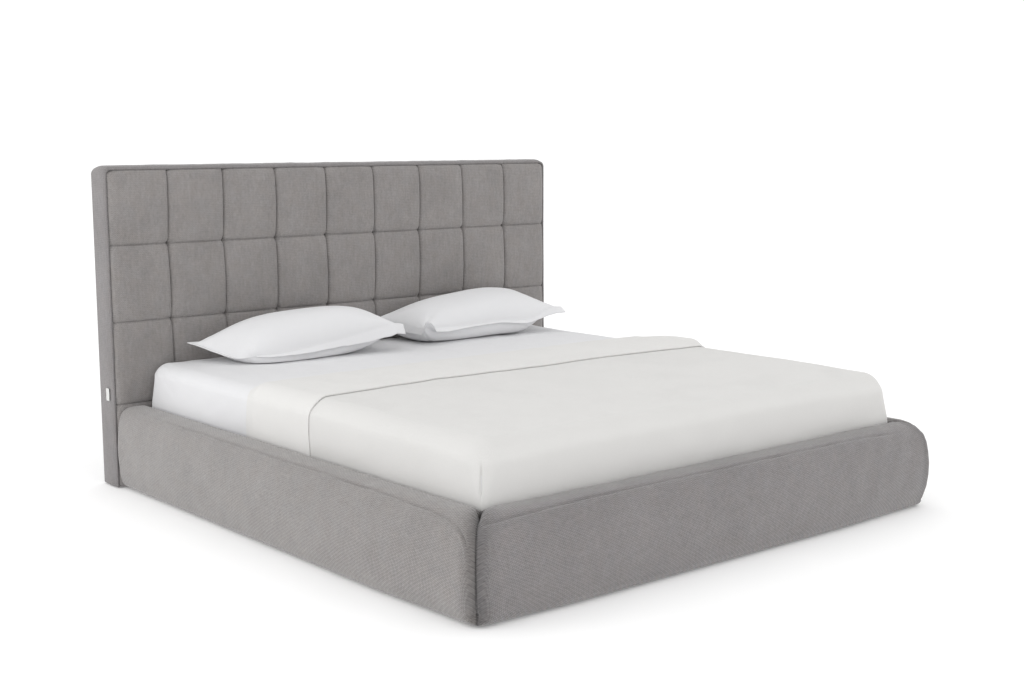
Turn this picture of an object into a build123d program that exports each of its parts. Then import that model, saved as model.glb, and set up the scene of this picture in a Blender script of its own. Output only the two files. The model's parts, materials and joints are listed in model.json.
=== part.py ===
from build123d import *
import math
import os

# Upholstered headboard bed with a lift-up mattress platform, for a 1800 x 2000 mm mattress.
#
# Millimetres. +Z is up, +Y points to the headboard, and the origin is on the floor under the
# middle of the bed. Lengthways places are given as a distance from the front of the headboard
# towards the foot, and bed_y() turns them into Y. Left and right are at -X and +X.

# ---------------------------------------------------------------- driving dimensions
HEAD_FACE_Y = 1002          # front seam of the headboard
INNER_HALF_WIDTH = 913      # side rail, inner face
INNER_LENGTH = 2021         # headboard front to foot rail, inner face
BOARD = 25                  # rail board thickness
BOARD_TOP = 270
RAIL_TOP = 292
FLOOR_GAP = 5               # height of the glides
RAIL_HEAD_GAP = 10.5        # the rails stop against the headboard's padding

HEADBOARD_HALF_WIDTH = 1034
HEADBOARD_TOP = 1181
HEADBOARD_DEPTH = 122
HEADBOARD_CORNER = 40
BORDER = 14                 # padded strip round the headboard's edge
PAD_PROUD = 10              # tufted padding in front of the seam
PANEL_FRONT = 30            # depths behind the seam
FRAME_FRONT = 38
FRAME_BACK = 113
BACK_PANEL_BACK = 119
PIPING_RADIUS = 4

MATTRESS_HALF_WIDTH = 896
MATTRESS_HEAD = 27
MATTRESS_FOOT = 2009
MATTRESS_BOTTOM = 262
MATTRESS_TOP = 456
MATTRESS_CORNER = 45
MATTRESS_EDGE = 20

TUBE = 30                   # platform tube, square
TUBE_WALL = 2
TUBE_TOP = 240
PLATFORM_HALF_WIDTH = 890.5
PLATFORM_HEAD = 40
PLATFORM_FOOT = 1992
SLAT_COUNT = 15             # on each side of the centre tube
SLAT_WIDTH = 60
SLAT_THICKNESS = 8
SLAT_CROWN = 8

# pivots of the lift, as (distance from the headboard, height)
REAR_FIXED = (752, 96)
REAR_MOVING = (480, 222)
FRONT_FIXED = (837, 55)
FRONT_MOVING = (515, 202)
STRUT_FIXED = (529, 45)
STRUT_MOVING = (390, 227)
PIN_RADIUS = 5
STRUT_PIN_RADIUS = 4
RUNNING_CLEARANCE = 0.05
LINK_WIDTH = 30
FRONT_LINK_PLAY = 4         # clearance in the front link's upper hole
STRUT_PLAY = 2              # clearance in the strut rod's eye

# layers of the lift, as X ranges on the right-hand side
FIXED_PLATE_X = (910, 913)
REAR_LINK_X = (904.5, 908.5)
FRONT_LINK_X = (898.5, 902.5)
MOVING_PLATE_X = (890.5, 894.5)
STRUT_X = 902
STRUT_EYE = 8
STRUT_RADIUS = 7
STRUT_CYLINDER_LENGTH = 172
STRUT_ROD_RADIUS = 3
STRUT_ROD_LENGTH = 158
STRUT_EYE_RADIUS = 9
STRUT_WALL = 1
STRUT_NECK_RADIUS = 3.5
PISTON = 8                  # length of the piston, and of the cylinder's end wall

os.makedirs("parts", exist_ok=True)


# ---------------------------------------------------------------- helpers
def bed_y(distance):
    """Y of a place this far from the headboard's front."""
    return HEAD_FACE_Y - distance


def save(builder, name):
    builder.part.label = name
    export_step(builder.part, f"parts/{name}.step")


def save_mirrored(builder, name):
    """The left-hand twin of a right-hand piece."""
    with BuildPart() as twin:
        mirror(builder.part, about=Plane.YZ)
    save(twin, name)


def block(x_range, distance_range, z_range, mode=Mode.ADD):
    """A rectangular block between two X, two distances from the headboard, and two heights."""
    size_x = x_range[1] - x_range[0]
    size_y = distance_range[1] - distance_range[0]
    size_z = z_range[1] - z_range[0]
    with Locations((x_range[0], bed_y(distance_range[1]), z_range[0])):
        Box(size_x, size_y, size_z, align=(Align.MIN, Align.MIN, Align.MIN), mode=mode)


def side_plane(x):
    """A plane at this X whose own x runs along Y and whose own y is up."""
    return Plane(origin=(x, 0, 0), x_dir=(0, 1, 0), z_dir=(1, 0, 0))


def across(x_range, place, radius, mode=Mode.ADD):
    """A round bar along X through a pivot."""
    with BuildSketch(side_plane(x_range[0])) as section:
        with Locations((bed_y(place[0]), place[1])):
            Circle(radius)
    extrude(section.sketch, amount=x_range[1] - x_range[0], mode=mode)


# ---------------------------------------------------------------- headboard
BRACKET_X = (880, 910)
BRACKET_Z = (100, 230)
HEAD_BOLTS = [(895, 130), (895, 200)]
HEAD_BOLT_END = 83          # depth of the bolts' tips behind the seam
BOLT_RADIUS = 4
BOLT_HEAD_RADIUS = 7
BOLT_HEAD = 5
PAD_STEP = 6                # behind the seam the padding widens to the board's edge
BORDER_FRONT = 6.2
POST_X = (880, 1000)
POST_TOP = 1150
BAR_HEIGHTS = {"bottom": (60, 130), "middle": (590, 650), "top": (1085, POST_TOP)}
TAG_DEPTHS = (26, 48)       # front and back edges of the label, behind the seam
TAG_HEIGHTS = (325, 371)
TAG_THICKNESS = 1

inner_half_width = HEADBOARD_HALF_WIDTH - BORDER
inner_top = HEADBOARD_TOP - BORDER
inner_corner = HEADBOARD_CORNER - BORDER
pad_half_width = HEADBOARD_HALF_WIDTH - 2 * PIPING_RADIUS - 1
pad_top = HEADBOARD_TOP - 2 * PIPING_RADIUS - 7
pad_corner = HEADBOARD_CORNER - 6 - PIPING_RADIUS


def face_plane(depth):
    """Plane of the headboard's face, this far behind its front seam."""
    return Plane.XZ.offset(-(HEAD_FACE_Y + depth))


def headboard_slab(front, back, half_width, top, corner, mode=Mode.ADD):
    """A slab of the headboard's shape between two depths: square below, rounded top corners."""
    with BuildSketch(face_plane(front)) as face:
        with Locations((0, FLOOR_GAP)):
            Rectangle(2 * half_width, top - FLOOR_GAP, align=(Align.CENTER, Align.MIN))
        fillet(face.vertices().group_by(Axis.Y)[-1], corner)
    extrude(face.sketch, amount=-(back - front), mode=mode)


def head_bolt_holes(front, back):
    """Holes for the bolts that hold the rails' brackets to the headboard."""
    with BuildSketch(face_plane(front)) as section:
        for x, z in HEAD_BOLTS:
            with Locations((x, z), (-x, z)):
                Circle(BOLT_RADIUS)
    extrude(section.sketch, amount=-(back - front), mode=Mode.SUBTRACT)


with BuildPart() as headboard_pad:
    headboard_slab(-PAD_PROUD, PAD_STEP, pad_half_width, pad_top, pad_corner)
    headboard_slab(PAD_STEP, PANEL_FRONT, inner_half_width, inner_top - 1, inner_corner)
    head_bolt_holes(-PAD_PROUD, PANEL_FRONT)
save(headboard_pad, "headboard_pad")

with BuildPart() as headboard_front_panel:
    headboard_slab(PANEL_FRONT, FRAME_FRONT, inner_half_width, inner_top - 1, inner_corner)
    head_bolt_holes(PANEL_FRONT, FRAME_FRONT)
save(headboard_front_panel, "headboard_front_panel")

with BuildPart() as headboard_back_panel:
    headboard_slab(FRAME_BACK, BACK_PANEL_BACK, inner_half_width, inner_top - 1, inner_corner)
save(headboard_back_panel, "headboard_back_panel")

with BuildPart() as headboard_back_cover:
    headboard_slab(BACK_PANEL_BACK, HEADBOARD_DEPTH, HEADBOARD_HALF_WIDTH - 6,
                   HEADBOARD_TOP - 8, HEADBOARD_CORNER - 6)
save(headboard_back_cover, "headboard_back_cover")

with BuildPart() as headboard_border:
    headboard_slab(BORDER_FRONT, BACK_PANEL_BACK, HEADBOARD_HALF_WIDTH, HEADBOARD_TOP,
                   HEADBOARD_CORNER)
    headboard_slab(BORDER_FRONT, BACK_PANEL_BACK, inner_half_width, inner_top, inner_corner,
                   Mode.SUBTRACT)
save(headboard_border, "headboard_border")

piping_x = HEADBOARD_HALF_WIDTH + 1 - PIPING_RADIUS
piping_z = HEADBOARD_TOP - 6 - PIPING_RADIUS
with BuildPart() as headboard_piping:
    with BuildLine(face_plane(2)) as piping_path:
        FilletPolyline((-piping_x, FLOOR_GAP), (-piping_x, piping_z), (piping_x, piping_z),
                       (piping_x, FLOOR_GAP), radius=HEADBOARD_CORNER - 6)
    with BuildSketch(Plane(origin=piping_path.line @ 0, z_dir=piping_path.line % 0)):
        Circle(PIPING_RADIUS)
    sweep(path=piping_path.line)
save(headboard_piping, "headboard_piping")

with BuildPart() as headboard_tag:
    block((-HEADBOARD_HALF_WIDTH - TAG_THICKNESS, -HEADBOARD_HALF_WIDTH),
          (-TAG_DEPTHS[1], -TAG_DEPTHS[0]), TAG_HEIGHTS)
save(headboard_tag, "headboard_tag")

with BuildPart() as headboard_post_right:
    block(POST_X, (-FRAME_BACK, -FRAME_FRONT), (FLOOR_GAP, POST_TOP))
    head_bolt_holes(FRAME_FRONT, HEAD_BOLT_END)
save(headboard_post_right, "headboard_post_right")
save_mirrored(headboard_post_right, "headboard_post_left")

for bar_name, bar_heights in BAR_HEIGHTS.items():
    with BuildPart() as headboard_bar:
        block((-POST_X[0], POST_X[0]), (-FRAME_BACK, -FRAME_FRONT), bar_heights)
    save(headboard_bar, f"headboard_{bar_name}_bar")

# ---------------------------------------------------------------- rails
RAIL_BULGE = 105            # the padding's furthest reach beyond the rail's inner face
RAIL_BULGE_Z = 162
RAIL_FOOT_REACH = 76        # its reach at the floor
RAIL_SHOULDER = 57          # where the rounded top meets the bulged side
RAIL_CREST = 28
BOLT_REACH = 20             # how far the bolts go into the rail boards
LIFT_SCREWS = [(545, 95), (640, 60), (700, 45), (785, 70), (855, 40)]
SCREW_RADIUS = 2.5
SCREW_HEAD_RADIUS = 4.5
SCREW_LENGTH = 20
RAIL_BOLTS = [(40, 130), (40, 200)]
CORNER_BOLTS_SIDE = [(1995, 85), (1995, 135)]
CORNER_BOLTS_FOOT = [(885, 85), (885, 135)]


def pad_profile():
    """Section of the rail's padding: over the board's top and down its bulged outer side."""
    with BuildLine() as outline:
        Polyline((0, RAIL_TOP - 2), (0, BOARD_TOP), (BOARD, BOARD_TOP), (BOARD, FLOOR_GAP),
                 (RAIL_FOOT_REACH, FLOOR_GAP))
        TangentArc((RAIL_BULGE, RAIL_BULGE_Z), (RAIL_FOOT_REACH, FLOOR_GAP), tangent=(0, -1))
        TangentArc((RAIL_BULGE, RAIL_BULGE_Z), (RAIL_SHOULDER, RAIL_TOP - 3),
                   tangent=(0, 1))
        ThreePointArc((RAIL_SHOULDER, RAIL_TOP - 3), (RAIL_CREST, RAIL_TOP + 1),
                      (0, RAIL_TOP - 2))
    make_face(outline.edges())


def mitre(x_sign):
    """The foot corner's mitre plane, facing the side rail."""
    return Plane(origin=(x_sign * INNER_HALF_WIDTH, bed_y(INNER_LENGTH), 0),
                 z_dir=(x_sign, 1, 0))


with BuildPart() as side_rail_right:
    block((INNER_HALF_WIDTH, INNER_HALF_WIDTH + BOARD), (RAIL_HEAD_GAP, INNER_LENGTH + BOARD),
          (FLOOR_GAP, BOARD_TOP))
    for screw_place in LIFT_SCREWS:
        across((INNER_HALF_WIDTH, FIXED_PLATE_X[0] + SCREW_LENGTH), screw_place, SCREW_RADIUS,
               Mode.SUBTRACT)
    for bolt_place in RAIL_BOLTS + CORNER_BOLTS_SIDE:
        across((INNER_HALF_WIDTH, INNER_HALF_WIDTH + BOLT_REACH), bolt_place, BOLT_RADIUS,
               Mode.SUBTRACT)
save(side_rail_right, "side_rail_right")
save_mirrored(side_rail_right, "side_rail_left")

side_pad_plane = Plane(origin=(INNER_HALF_WIDTH, bed_y(RAIL_HEAD_GAP), 0), x_dir=(1, 0, 0),
                       z_dir=(0, -1, 0))
with BuildPart() as side_rail_pad_right:
    with BuildSketch(side_pad_plane):
        pad_profile()
    extrude(amount=INNER_LENGTH + RAIL_BULGE)
    split(bisect_by=mitre(1), keep=Keep.TOP)
save(side_rail_pad_right, "side_rail_pad_right")
save_mirrored(side_rail_pad_right, "side_rail_pad_left")

foot_pad_plane = Plane(origin=(INNER_HALF_WIDTH + RAIL_BULGE, bed_y(INNER_LENGTH), 0),
                       x_dir=(0, -1, 0), z_dir=(-1, 0, 0))
with BuildPart() as foot_rail_pad:
    with BuildSketch(foot_pad_plane):
        pad_profile()
    extrude(amount=2 * (INNER_HALF_WIDTH + RAIL_BULGE))
    for x_sign in (1, -1):
        split(bisect_by=mitre(x_sign), keep=Keep.BOTTOM)
save(foot_rail_pad, "foot_rail_pad")

with BuildPart() as foot_rail:
    block((-INNER_HALF_WIDTH, INNER_HALF_WIDTH), (INNER_LENGTH, INNER_LENGTH + BOARD),
          (FLOOR_GAP, BOARD_TOP))
    with BuildSketch(Plane.XZ.offset(-bed_y(INNER_LENGTH))) as corner_bolt_holes:
        for x, z in CORNER_BOLTS_FOOT:
            with Locations((x, z), (-x, z)):
                Circle(BOLT_RADIUS)
    extrude(amount=BOLT_REACH, mode=Mode.SUBTRACT)
save(foot_rail, "foot_rail")

# battens screwed inside the rails: the upper ones carry the platform, the lower ones the base
UPPER_BATTEN_Z = (185, 209.7)
UPPER_BATTEN = 40           # width of the battens that carry the platform
UPPER_BATTEN_HEAD = 950     # they start clear of the lift
with BuildPart() as platform_battens:
    for x_sign in (1, -1):
        batten_x = sorted((x_sign * (INNER_HALF_WIDTH - UPPER_BATTEN), x_sign * INNER_HALF_WIDTH))
        block(batten_x, (UPPER_BATTEN_HEAD, INNER_LENGTH - UPPER_BATTEN), UPPER_BATTEN_Z)
    block((-INNER_HALF_WIDTH, INNER_HALF_WIDTH), (INNER_LENGTH - UPPER_BATTEN, INNER_LENGTH),
          UPPER_BATTEN_Z)
save(platform_battens, "platform_battens")

BASE_BATTEN_Z = (FLOOR_GAP, 18)
BASE_BATTEN = 20
BASE_HEAD = 12              # the base starts clear of the headboard's padding
BASE_TOP = 22
BEARER_HALF_WIDTH = 25
with BuildPart() as base_battens:
    for x_sign in (1, -1):
        batten_x = sorted((x_sign * (INNER_HALF_WIDTH - BASE_BATTEN), x_sign * INNER_HALF_WIDTH))
        block(batten_x, (BASE_HEAD + BASE_BATTEN, INNER_LENGTH - BASE_BATTEN), BASE_BATTEN_Z)
    block((-INNER_HALF_WIDTH, INNER_HALF_WIDTH), (BASE_HEAD, BASE_HEAD + BASE_BATTEN),
          BASE_BATTEN_Z)
    block((-INNER_HALF_WIDTH, INNER_HALF_WIDTH), (INNER_LENGTH - BASE_BATTEN, INNER_LENGTH),
          BASE_BATTEN_Z)
save(base_battens, "base_battens")

with BuildPart() as base_centre_bearer:
    block((-BEARER_HALF_WIDTH, BEARER_HALF_WIDTH),
          (BASE_HEAD + BASE_BATTEN, INNER_LENGTH - BASE_BATTEN), BASE_BATTEN_Z)
save(base_centre_bearer, "base_centre_bearer")

with BuildPart() as base_panel_right:
    block((2, INNER_HALF_WIDTH - 4), (BASE_HEAD + 2, INNER_LENGTH - 2),
          (BASE_BATTEN_Z[1], BASE_TOP))
save(base_panel_right, "base_panel_right")
save_mirrored(base_panel_right, "base_panel_left")

GLIDE_RADIUS = 12
POST_GLIDE = (940, -75)
RAIL_GLIDES = (60, 700, 1350, INNER_LENGTH - 20)
MIDDLE_GLIDES = (300, 1010, 1720, INNER_LENGTH + BOARD / 2)
rail_middle = INNER_HALF_WIDTH + BOARD / 2
with BuildPart() as glides:
    with BuildSketch(Plane.XY):
        for x_sign in (1, -1):
            with Locations((x_sign * POST_GLIDE[0], bed_y(POST_GLIDE[1]))):
                Circle(GLIDE_RADIUS)
            for distance in RAIL_GLIDES:
                with Locations((x_sign * rail_middle, bed_y(distance))):
                    Circle(GLIDE_RADIUS)
        for distance in MIDDLE_GLIDES:
            with Locations((0, bed_y(distance))):
                Circle(GLIDE_RADIUS)
    extrude(amount=FLOOR_GAP)
save(glides, "glides")

# ---------------------------------------------------------------- brackets and their bolts
BRACKET = 3                 # thickness of the brackets
HEAD_BRACKET_END = 60
CORNER_BRACKET_START = 1970
CORNER_BRACKET_X = 862
CORNER_BRACKET_Z = (60, 160)


def bolt_across(x_from, x_to, x_head, place):
    """A bolt along X, its head towards the middle of the bed."""
    across((x_from, x_to), place, BOLT_RADIUS)
    across((x_head, x_from), place, BOLT_HEAD_RADIUS)


with BuildPart() as head_bracket_right:
    block((INNER_HALF_WIDTH - BRACKET, INNER_HALF_WIDTH), (RAIL_HEAD_GAP, HEAD_BRACKET_END),
          BRACKET_Z)
    block((BRACKET_X[0], INNER_HALF_WIDTH - BRACKET), (RAIL_HEAD_GAP, RAIL_HEAD_GAP + BRACKET),
          BRACKET_Z)
    for bolt_place in RAIL_BOLTS:
        across((INNER_HALF_WIDTH - BRACKET, INNER_HALF_WIDTH), bolt_place, BOLT_RADIUS,
               Mode.SUBTRACT)
    head_bolt_holes(-RAIL_HEAD_GAP - BRACKET, -RAIL_HEAD_GAP)
save(head_bracket_right, "head_bracket_right")
save_mirrored(head_bracket_right, "head_bracket_left")

with BuildPart() as corner_bracket_right:
    block((INNER_HALF_WIDTH - BRACKET, INNER_HALF_WIDTH), (CORNER_BRACKET_START, INNER_LENGTH),
          CORNER_BRACKET_Z)
    block((CORNER_BRACKET_X, INNER_HALF_WIDTH - BRACKET), (INNER_LENGTH - BRACKET, INNER_LENGTH),
          CORNER_BRACKET_Z)
    for bolt_place in CORNER_BOLTS_SIDE:
        across((INNER_HALF_WIDTH - BRACKET, INNER_HALF_WIDTH), bolt_place, BOLT_RADIUS,
               Mode.SUBTRACT)
    with BuildSketch(Plane.XZ.offset(-bed_y(INNER_LENGTH - BRACKET))) as corner_holes:
        with Locations(*CORNER_BOLTS_FOOT):
            Circle(BOLT_RADIUS)
    extrude(amount=BRACKET, mode=Mode.SUBTRACT)
save(corner_bracket_right, "corner_bracket_right")
save_mirrored(corner_bracket_right, "corner_bracket_left")

with BuildPart() as bracket_bolts:
    for bolt_place in RAIL_BOLTS + CORNER_BOLTS_SIDE:
        bolt_across(INNER_HALF_WIDTH - BRACKET, INNER_HALF_WIDTH + BOLT_REACH,
                    INNER_HALF_WIDTH - BRACKET - BOLT_HEAD, bolt_place)
    head_face = -RAIL_HEAD_GAP - BRACKET
    for radius, front, back in ((BOLT_RADIUS, head_face, HEAD_BOLT_END),
                                (BOLT_HEAD_RADIUS, head_face - BOLT_HEAD, head_face)):
        with BuildSketch(face_plane(front)):
            with Locations(*HEAD_BOLTS):
                Circle(radius)
        extrude(amount=-(back - front))
    for radius, start, length in ((BOLT_RADIUS, INNER_LENGTH - BRACKET, BRACKET + BOLT_REACH),
                                  (BOLT_HEAD_RADIUS, INNER_LENGTH - BRACKET - BOLT_HEAD,
                                   BOLT_HEAD)):
        with BuildSketch(Plane.XZ.offset(-bed_y(start))):
            with Locations(*CORNER_BOLTS_FOOT):
                Circle(radius)
        extrude(amount=length)
    mirror(about=Plane.YZ)
save(bracket_bolts, "bracket_bolts")


# ---------------------------------------------------------------- lift: fixed side
PLATE_OUTLINE = [(505, 28), (872, 28), (872, 78), (790, 122), (725, 122), (505, 72)]
LOWER_PINS = [(REAR_FIXED, PIN_RADIUS, REAR_LINK_X, (902.9, 904.2)),
              (FRONT_FIXED, PIN_RADIUS, FRONT_LINK_X, (896.9, 898.2)),
              (STRUT_FIXED, STRUT_PIN_RADIUS, (STRUT_X - STRUT_EYE / 2, STRUT_X + STRUT_EYE / 2),
               (896.3, 897.6))]
UPPER_PINS = [(REAR_MOVING, PIN_RADIUS, REAR_LINK_X, (908.8, 910.8)),
              (FRONT_MOVING, PIN_RADIUS, FRONT_LINK_X, (902.8, 904.2)),
              (STRUT_MOVING, STRUT_PIN_RADIUS, (STRUT_X - STRUT_EYE / 2, STRUT_X + STRUT_EYE / 2),
               (906.4, 908.4))]
PIN_HEAD_RADIUS = 8
SCREW_HEAD = 1.5
FRONT_PIN_HEAD_RADIUS = 13
SIDE_GAP = 0.3              # between a shoulder or head and the link beside it


def plate(x_range, outline, corner):
    """A flat steel plate parallel to the side rail, with rounded corners."""
    with BuildSketch(side_plane(x_range[0])) as section:
        with BuildLine():
            Polyline([(bed_y(distance), z) for distance, z in outline], close=True)
        make_face()
        fillet(section.vertices(), corner)
    extrude(section.sketch, amount=x_range[1] - x_range[0])


with BuildPart() as lift_plate_right:
    plate(FIXED_PLATE_X, PLATE_OUTLINE, 8)
    for screw_place in LIFT_SCREWS:
        across(FIXED_PLATE_X, screw_place, SCREW_RADIUS, Mode.SUBTRACT)
        across((FIXED_PLATE_X[0], FIXED_PLATE_X[0] + SCREW_HEAD), screw_place, SCREW_HEAD_RADIUS,
               Mode.SUBTRACT)
save(lift_plate_right, "lift_plate_right")
save_mirrored(lift_plate_right, "lift_plate_left")

with BuildPart() as lift_plate_screws:
    for screw_place in LIFT_SCREWS:
        across((FIXED_PLATE_X[0] + SCREW_HEAD, FIXED_PLATE_X[0] + SCREW_LENGTH), screw_place,
               SCREW_RADIUS)
        across((FIXED_PLATE_X[0], FIXED_PLATE_X[0] + SCREW_HEAD), screw_place, SCREW_HEAD_RADIUS)
    mirror(about=Plane.YZ)
save(lift_plate_screws, "lift_plate_screws")

with BuildPart() as lower_pivot_pins:
    for place, radius, link_x, head_x in LOWER_PINS:
        across((head_x[1], FIXED_PLATE_X[0]), place, radius)
        across((link_x[1] + SIDE_GAP, FIXED_PLATE_X[0]), place, PIN_HEAD_RADIUS)
        across(head_x, place, PIN_HEAD_RADIUS)
    mirror(about=Plane.YZ)
save(lower_pivot_pins, "lower_pivot_pins")


# ---------------------------------------------------------------- lift: links and gas struts
def link(x_range, start, end, start_hole, end_hole, end_width):
    """A flat steel link between two pivots."""
    with BuildSketch(side_plane(x_range[0])) as section:
        run_y, run_z = start[0] - end[0], end[1] - start[1]
        middle = (bed_y((start[0] + end[0]) / 2), (start[1] + end[1]) / 2)
        with Locations(middle):
            SlotCenterToCenter(math.hypot(run_y, run_z), LINK_WIDTH,
                               rotation=math.degrees(math.atan2(run_z, run_y)))
        with Locations((bed_y(end[0]), end[1])):
            Circle(end_width / 2)
        with Locations((bed_y(start[0]), start[1])):
            Circle(start_hole, mode=Mode.SUBTRACT)
        with Locations((bed_y(end[0]), end[1])):
            Circle(end_hole, mode=Mode.SUBTRACT)
    extrude(section.sketch, amount=x_range[1] - x_range[0])


running_hole = PIN_RADIUS + RUNNING_CLEARANCE
with BuildPart() as rear_link_right:
    link(REAR_LINK_X, REAR_FIXED, REAR_MOVING, running_hole, running_hole, LINK_WIDTH)
save(rear_link_right, "rear_link_right")
save_mirrored(rear_link_right, "rear_link_left")

with BuildPart() as front_link_right:
    link(FRONT_LINK_X, FRONT_FIXED, FRONT_MOVING, running_hole, PIN_RADIUS + FRONT_LINK_PLAY,
         LINK_WIDTH + 4)
save(front_link_right, "front_link_right")
save_mirrored(front_link_right, "front_link_left")

strut_run = Vector(0, STRUT_FIXED[0] - STRUT_MOVING[0], STRUT_MOVING[1] - STRUT_FIXED[1])
strut_direction = strut_run.normalized()
strut_start = Vector(STRUT_X, bed_y(STRUT_FIXED[0]), STRUT_FIXED[1])
strut_end = strut_start + strut_run


def along_strut(start, direction, near, far, radius, mode=Mode.ADD):
    """A round bar along the strut, between two distances from the start."""
    with BuildSketch(Plane(origin=start + direction * near, z_dir=direction)) as section:
        Circle(radius)
    extrude(section.sketch, amount=far - near, mode=mode)


EYE_X = (STRUT_X - STRUT_EYE / 2, STRUT_X + STRUT_EYE / 2)
with BuildPart() as strut_cylinder_right:
    across(EYE_X, STRUT_FIXED, STRUT_EYE_RADIUS)
    along_strut(strut_start, strut_direction, 6, 22, STRUT_NECK_RADIUS)
    along_strut(strut_start, strut_direction, 20, STRUT_CYLINDER_LENGTH, STRUT_RADIUS)
    along_strut(strut_start, strut_direction, 26, STRUT_CYLINDER_LENGTH - PISTON,
                STRUT_RADIUS - STRUT_WALL, Mode.SUBTRACT)
    along_strut(strut_start, strut_direction, STRUT_CYLINDER_LENGTH - 10,
                STRUT_CYLINDER_LENGTH, STRUT_ROD_RADIUS + RUNNING_CLEARANCE, Mode.SUBTRACT)
    across(EYE_X, STRUT_FIXED, STRUT_PIN_RADIUS + RUNNING_CLEARANCE, Mode.SUBTRACT)
save(strut_cylinder_right, "strut_cylinder_right")
save_mirrored(strut_cylinder_right, "strut_cylinder_left")

with BuildPart() as strut_rod_right:
    across(EYE_X, STRUT_MOVING, STRUT_EYE_RADIUS + 2)
    along_strut(strut_end, -strut_direction, 9, 18, STRUT_NECK_RADIUS)
    along_strut(strut_end, -strut_direction, 9, STRUT_ROD_LENGTH, STRUT_ROD_RADIUS)
    along_strut(strut_end, -strut_direction, STRUT_ROD_LENGTH - PISTON, STRUT_ROD_LENGTH,
                STRUT_RADIUS - STRUT_WALL - RUNNING_CLEARANCE)
    across(EYE_X, STRUT_MOVING, STRUT_PIN_RADIUS + STRUT_PLAY, Mode.SUBTRACT)
save(strut_rod_right, "strut_rod_right")
save_mirrored(strut_rod_right, "strut_rod_left")

# ---------------------------------------------------------------- platform
MOVING_PLATE_OUTLINE = [(362, 206), (500, 206), (500, 184), (532, 184), (548, 205), (548, 240),
                        (362, 240)]
with BuildPart() as platform_plate_right:
    plate(MOVING_PLATE_X, MOVING_PLATE_OUTLINE, 5)
save(platform_plate_right, "platform_plate_right")
save_mirrored(platform_plate_right, "platform_plate_left")

with BuildPart() as upper_pivot_pins:
    for place, radius, link_x, head_x in UPPER_PINS:
        head_radius = FRONT_PIN_HEAD_RADIUS if place == FRONT_MOVING else PIN_HEAD_RADIUS
        across((MOVING_PLATE_X[1], head_x[0]), place, radius)
        across((MOVING_PLATE_X[1], link_x[0] - SIDE_GAP), place, PIN_HEAD_RADIUS)
        across(head_x, place, head_radius)
    mirror(about=Plane.YZ)
save(upper_pivot_pins, "upper_pivot_pins")

MIDDLE_TUBE = 1001
END_CAP = 2
tube_bottom = TUBE_TOP - TUBE
side_tube_x = (PLATFORM_HALF_WIDTH - TUBE, PLATFORM_HALF_WIDTH)
with BuildPart() as platform_side_tube_right:
    block(side_tube_x, (PLATFORM_HEAD, PLATFORM_FOOT), (tube_bottom, TUBE_TOP))
    block((side_tube_x[0] + TUBE_WALL, side_tube_x[1] - TUBE_WALL),
          (PLATFORM_HEAD, PLATFORM_FOOT), (tube_bottom + TUBE_WALL, TUBE_TOP - TUBE_WALL),
          Mode.SUBTRACT)
save(platform_side_tube_right, "platform_side_tube_right")
save_mirrored(platform_side_tube_right, "platform_side_tube_left")

with BuildPart() as tube_end_caps:
    for near, far in ((PLATFORM_HEAD - END_CAP, PLATFORM_HEAD),
                      (PLATFORM_FOOT, PLATFORM_FOOT + END_CAP)):
        block(side_tube_x, (near, far), (tube_bottom, TUBE_TOP))
    mirror(about=Plane.YZ)
save(tube_end_caps, "tube_end_caps")

for tube_name, near in (("head", PLATFORM_HEAD), ("middle", MIDDLE_TUBE),
                        ("foot", PLATFORM_FOOT - TUBE)):
    with BuildPart() as cross_tube:
        block((-side_tube_x[0], side_tube_x[0]), (near, near + TUBE), (tube_bottom, TUBE_TOP))
        block((-side_tube_x[0], side_tube_x[0]), (near + TUBE_WALL, near + TUBE - TUBE_WALL),
              (tube_bottom + TUBE_WALL, TUBE_TOP - TUBE_WALL), Mode.SUBTRACT)
    save(cross_tube, f"platform_{tube_name}_tube")

centre_tube_ends = ((PLATFORM_HEAD + TUBE, MIDDLE_TUBE), (MIDDLE_TUBE + TUBE, PLATFORM_FOOT - TUBE))
with BuildPart() as platform_centre_tube:
    for ends in centre_tube_ends:
        block((-TUBE / 2, TUBE / 2), ends, (tube_bottom, TUBE_TOP))
        block((-TUBE / 2 + TUBE_WALL, TUBE / 2 - TUBE_WALL), ends,
              (tube_bottom + TUBE_WALL, TUBE_TOP - TUBE_WALL), Mode.SUBTRACT)
save(platform_centre_tube, "platform_centre_tube")

# ---------------------------------------------------------------- slats
SLAT_X = (8, 868)
SLAT_END_Z = TUBE_TOP + 3
SLAT_MARGIN = 55            # from the platform's end to the first slat's middle
HOLDER_LENGTH = 26
HOLDER_WALL = 3
HOLDER_LAP = 4              # how far the holder goes past the slat's end
HOLDER_TOP = TUBE_TOP + 14
HOLDER_PLAY = 1.2
first_slat = PLATFORM_HEAD + SLAT_MARGIN
slat_pitch = (PLATFORM_FOOT - SLAT_MARGIN - first_slat) / (SLAT_COUNT - 1)
slat_places = [first_slat + number * slat_pitch for number in range(SLAT_COUNT)]
slat_middle_x = (SLAT_X[0] + SLAT_X[1]) / 2

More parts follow.
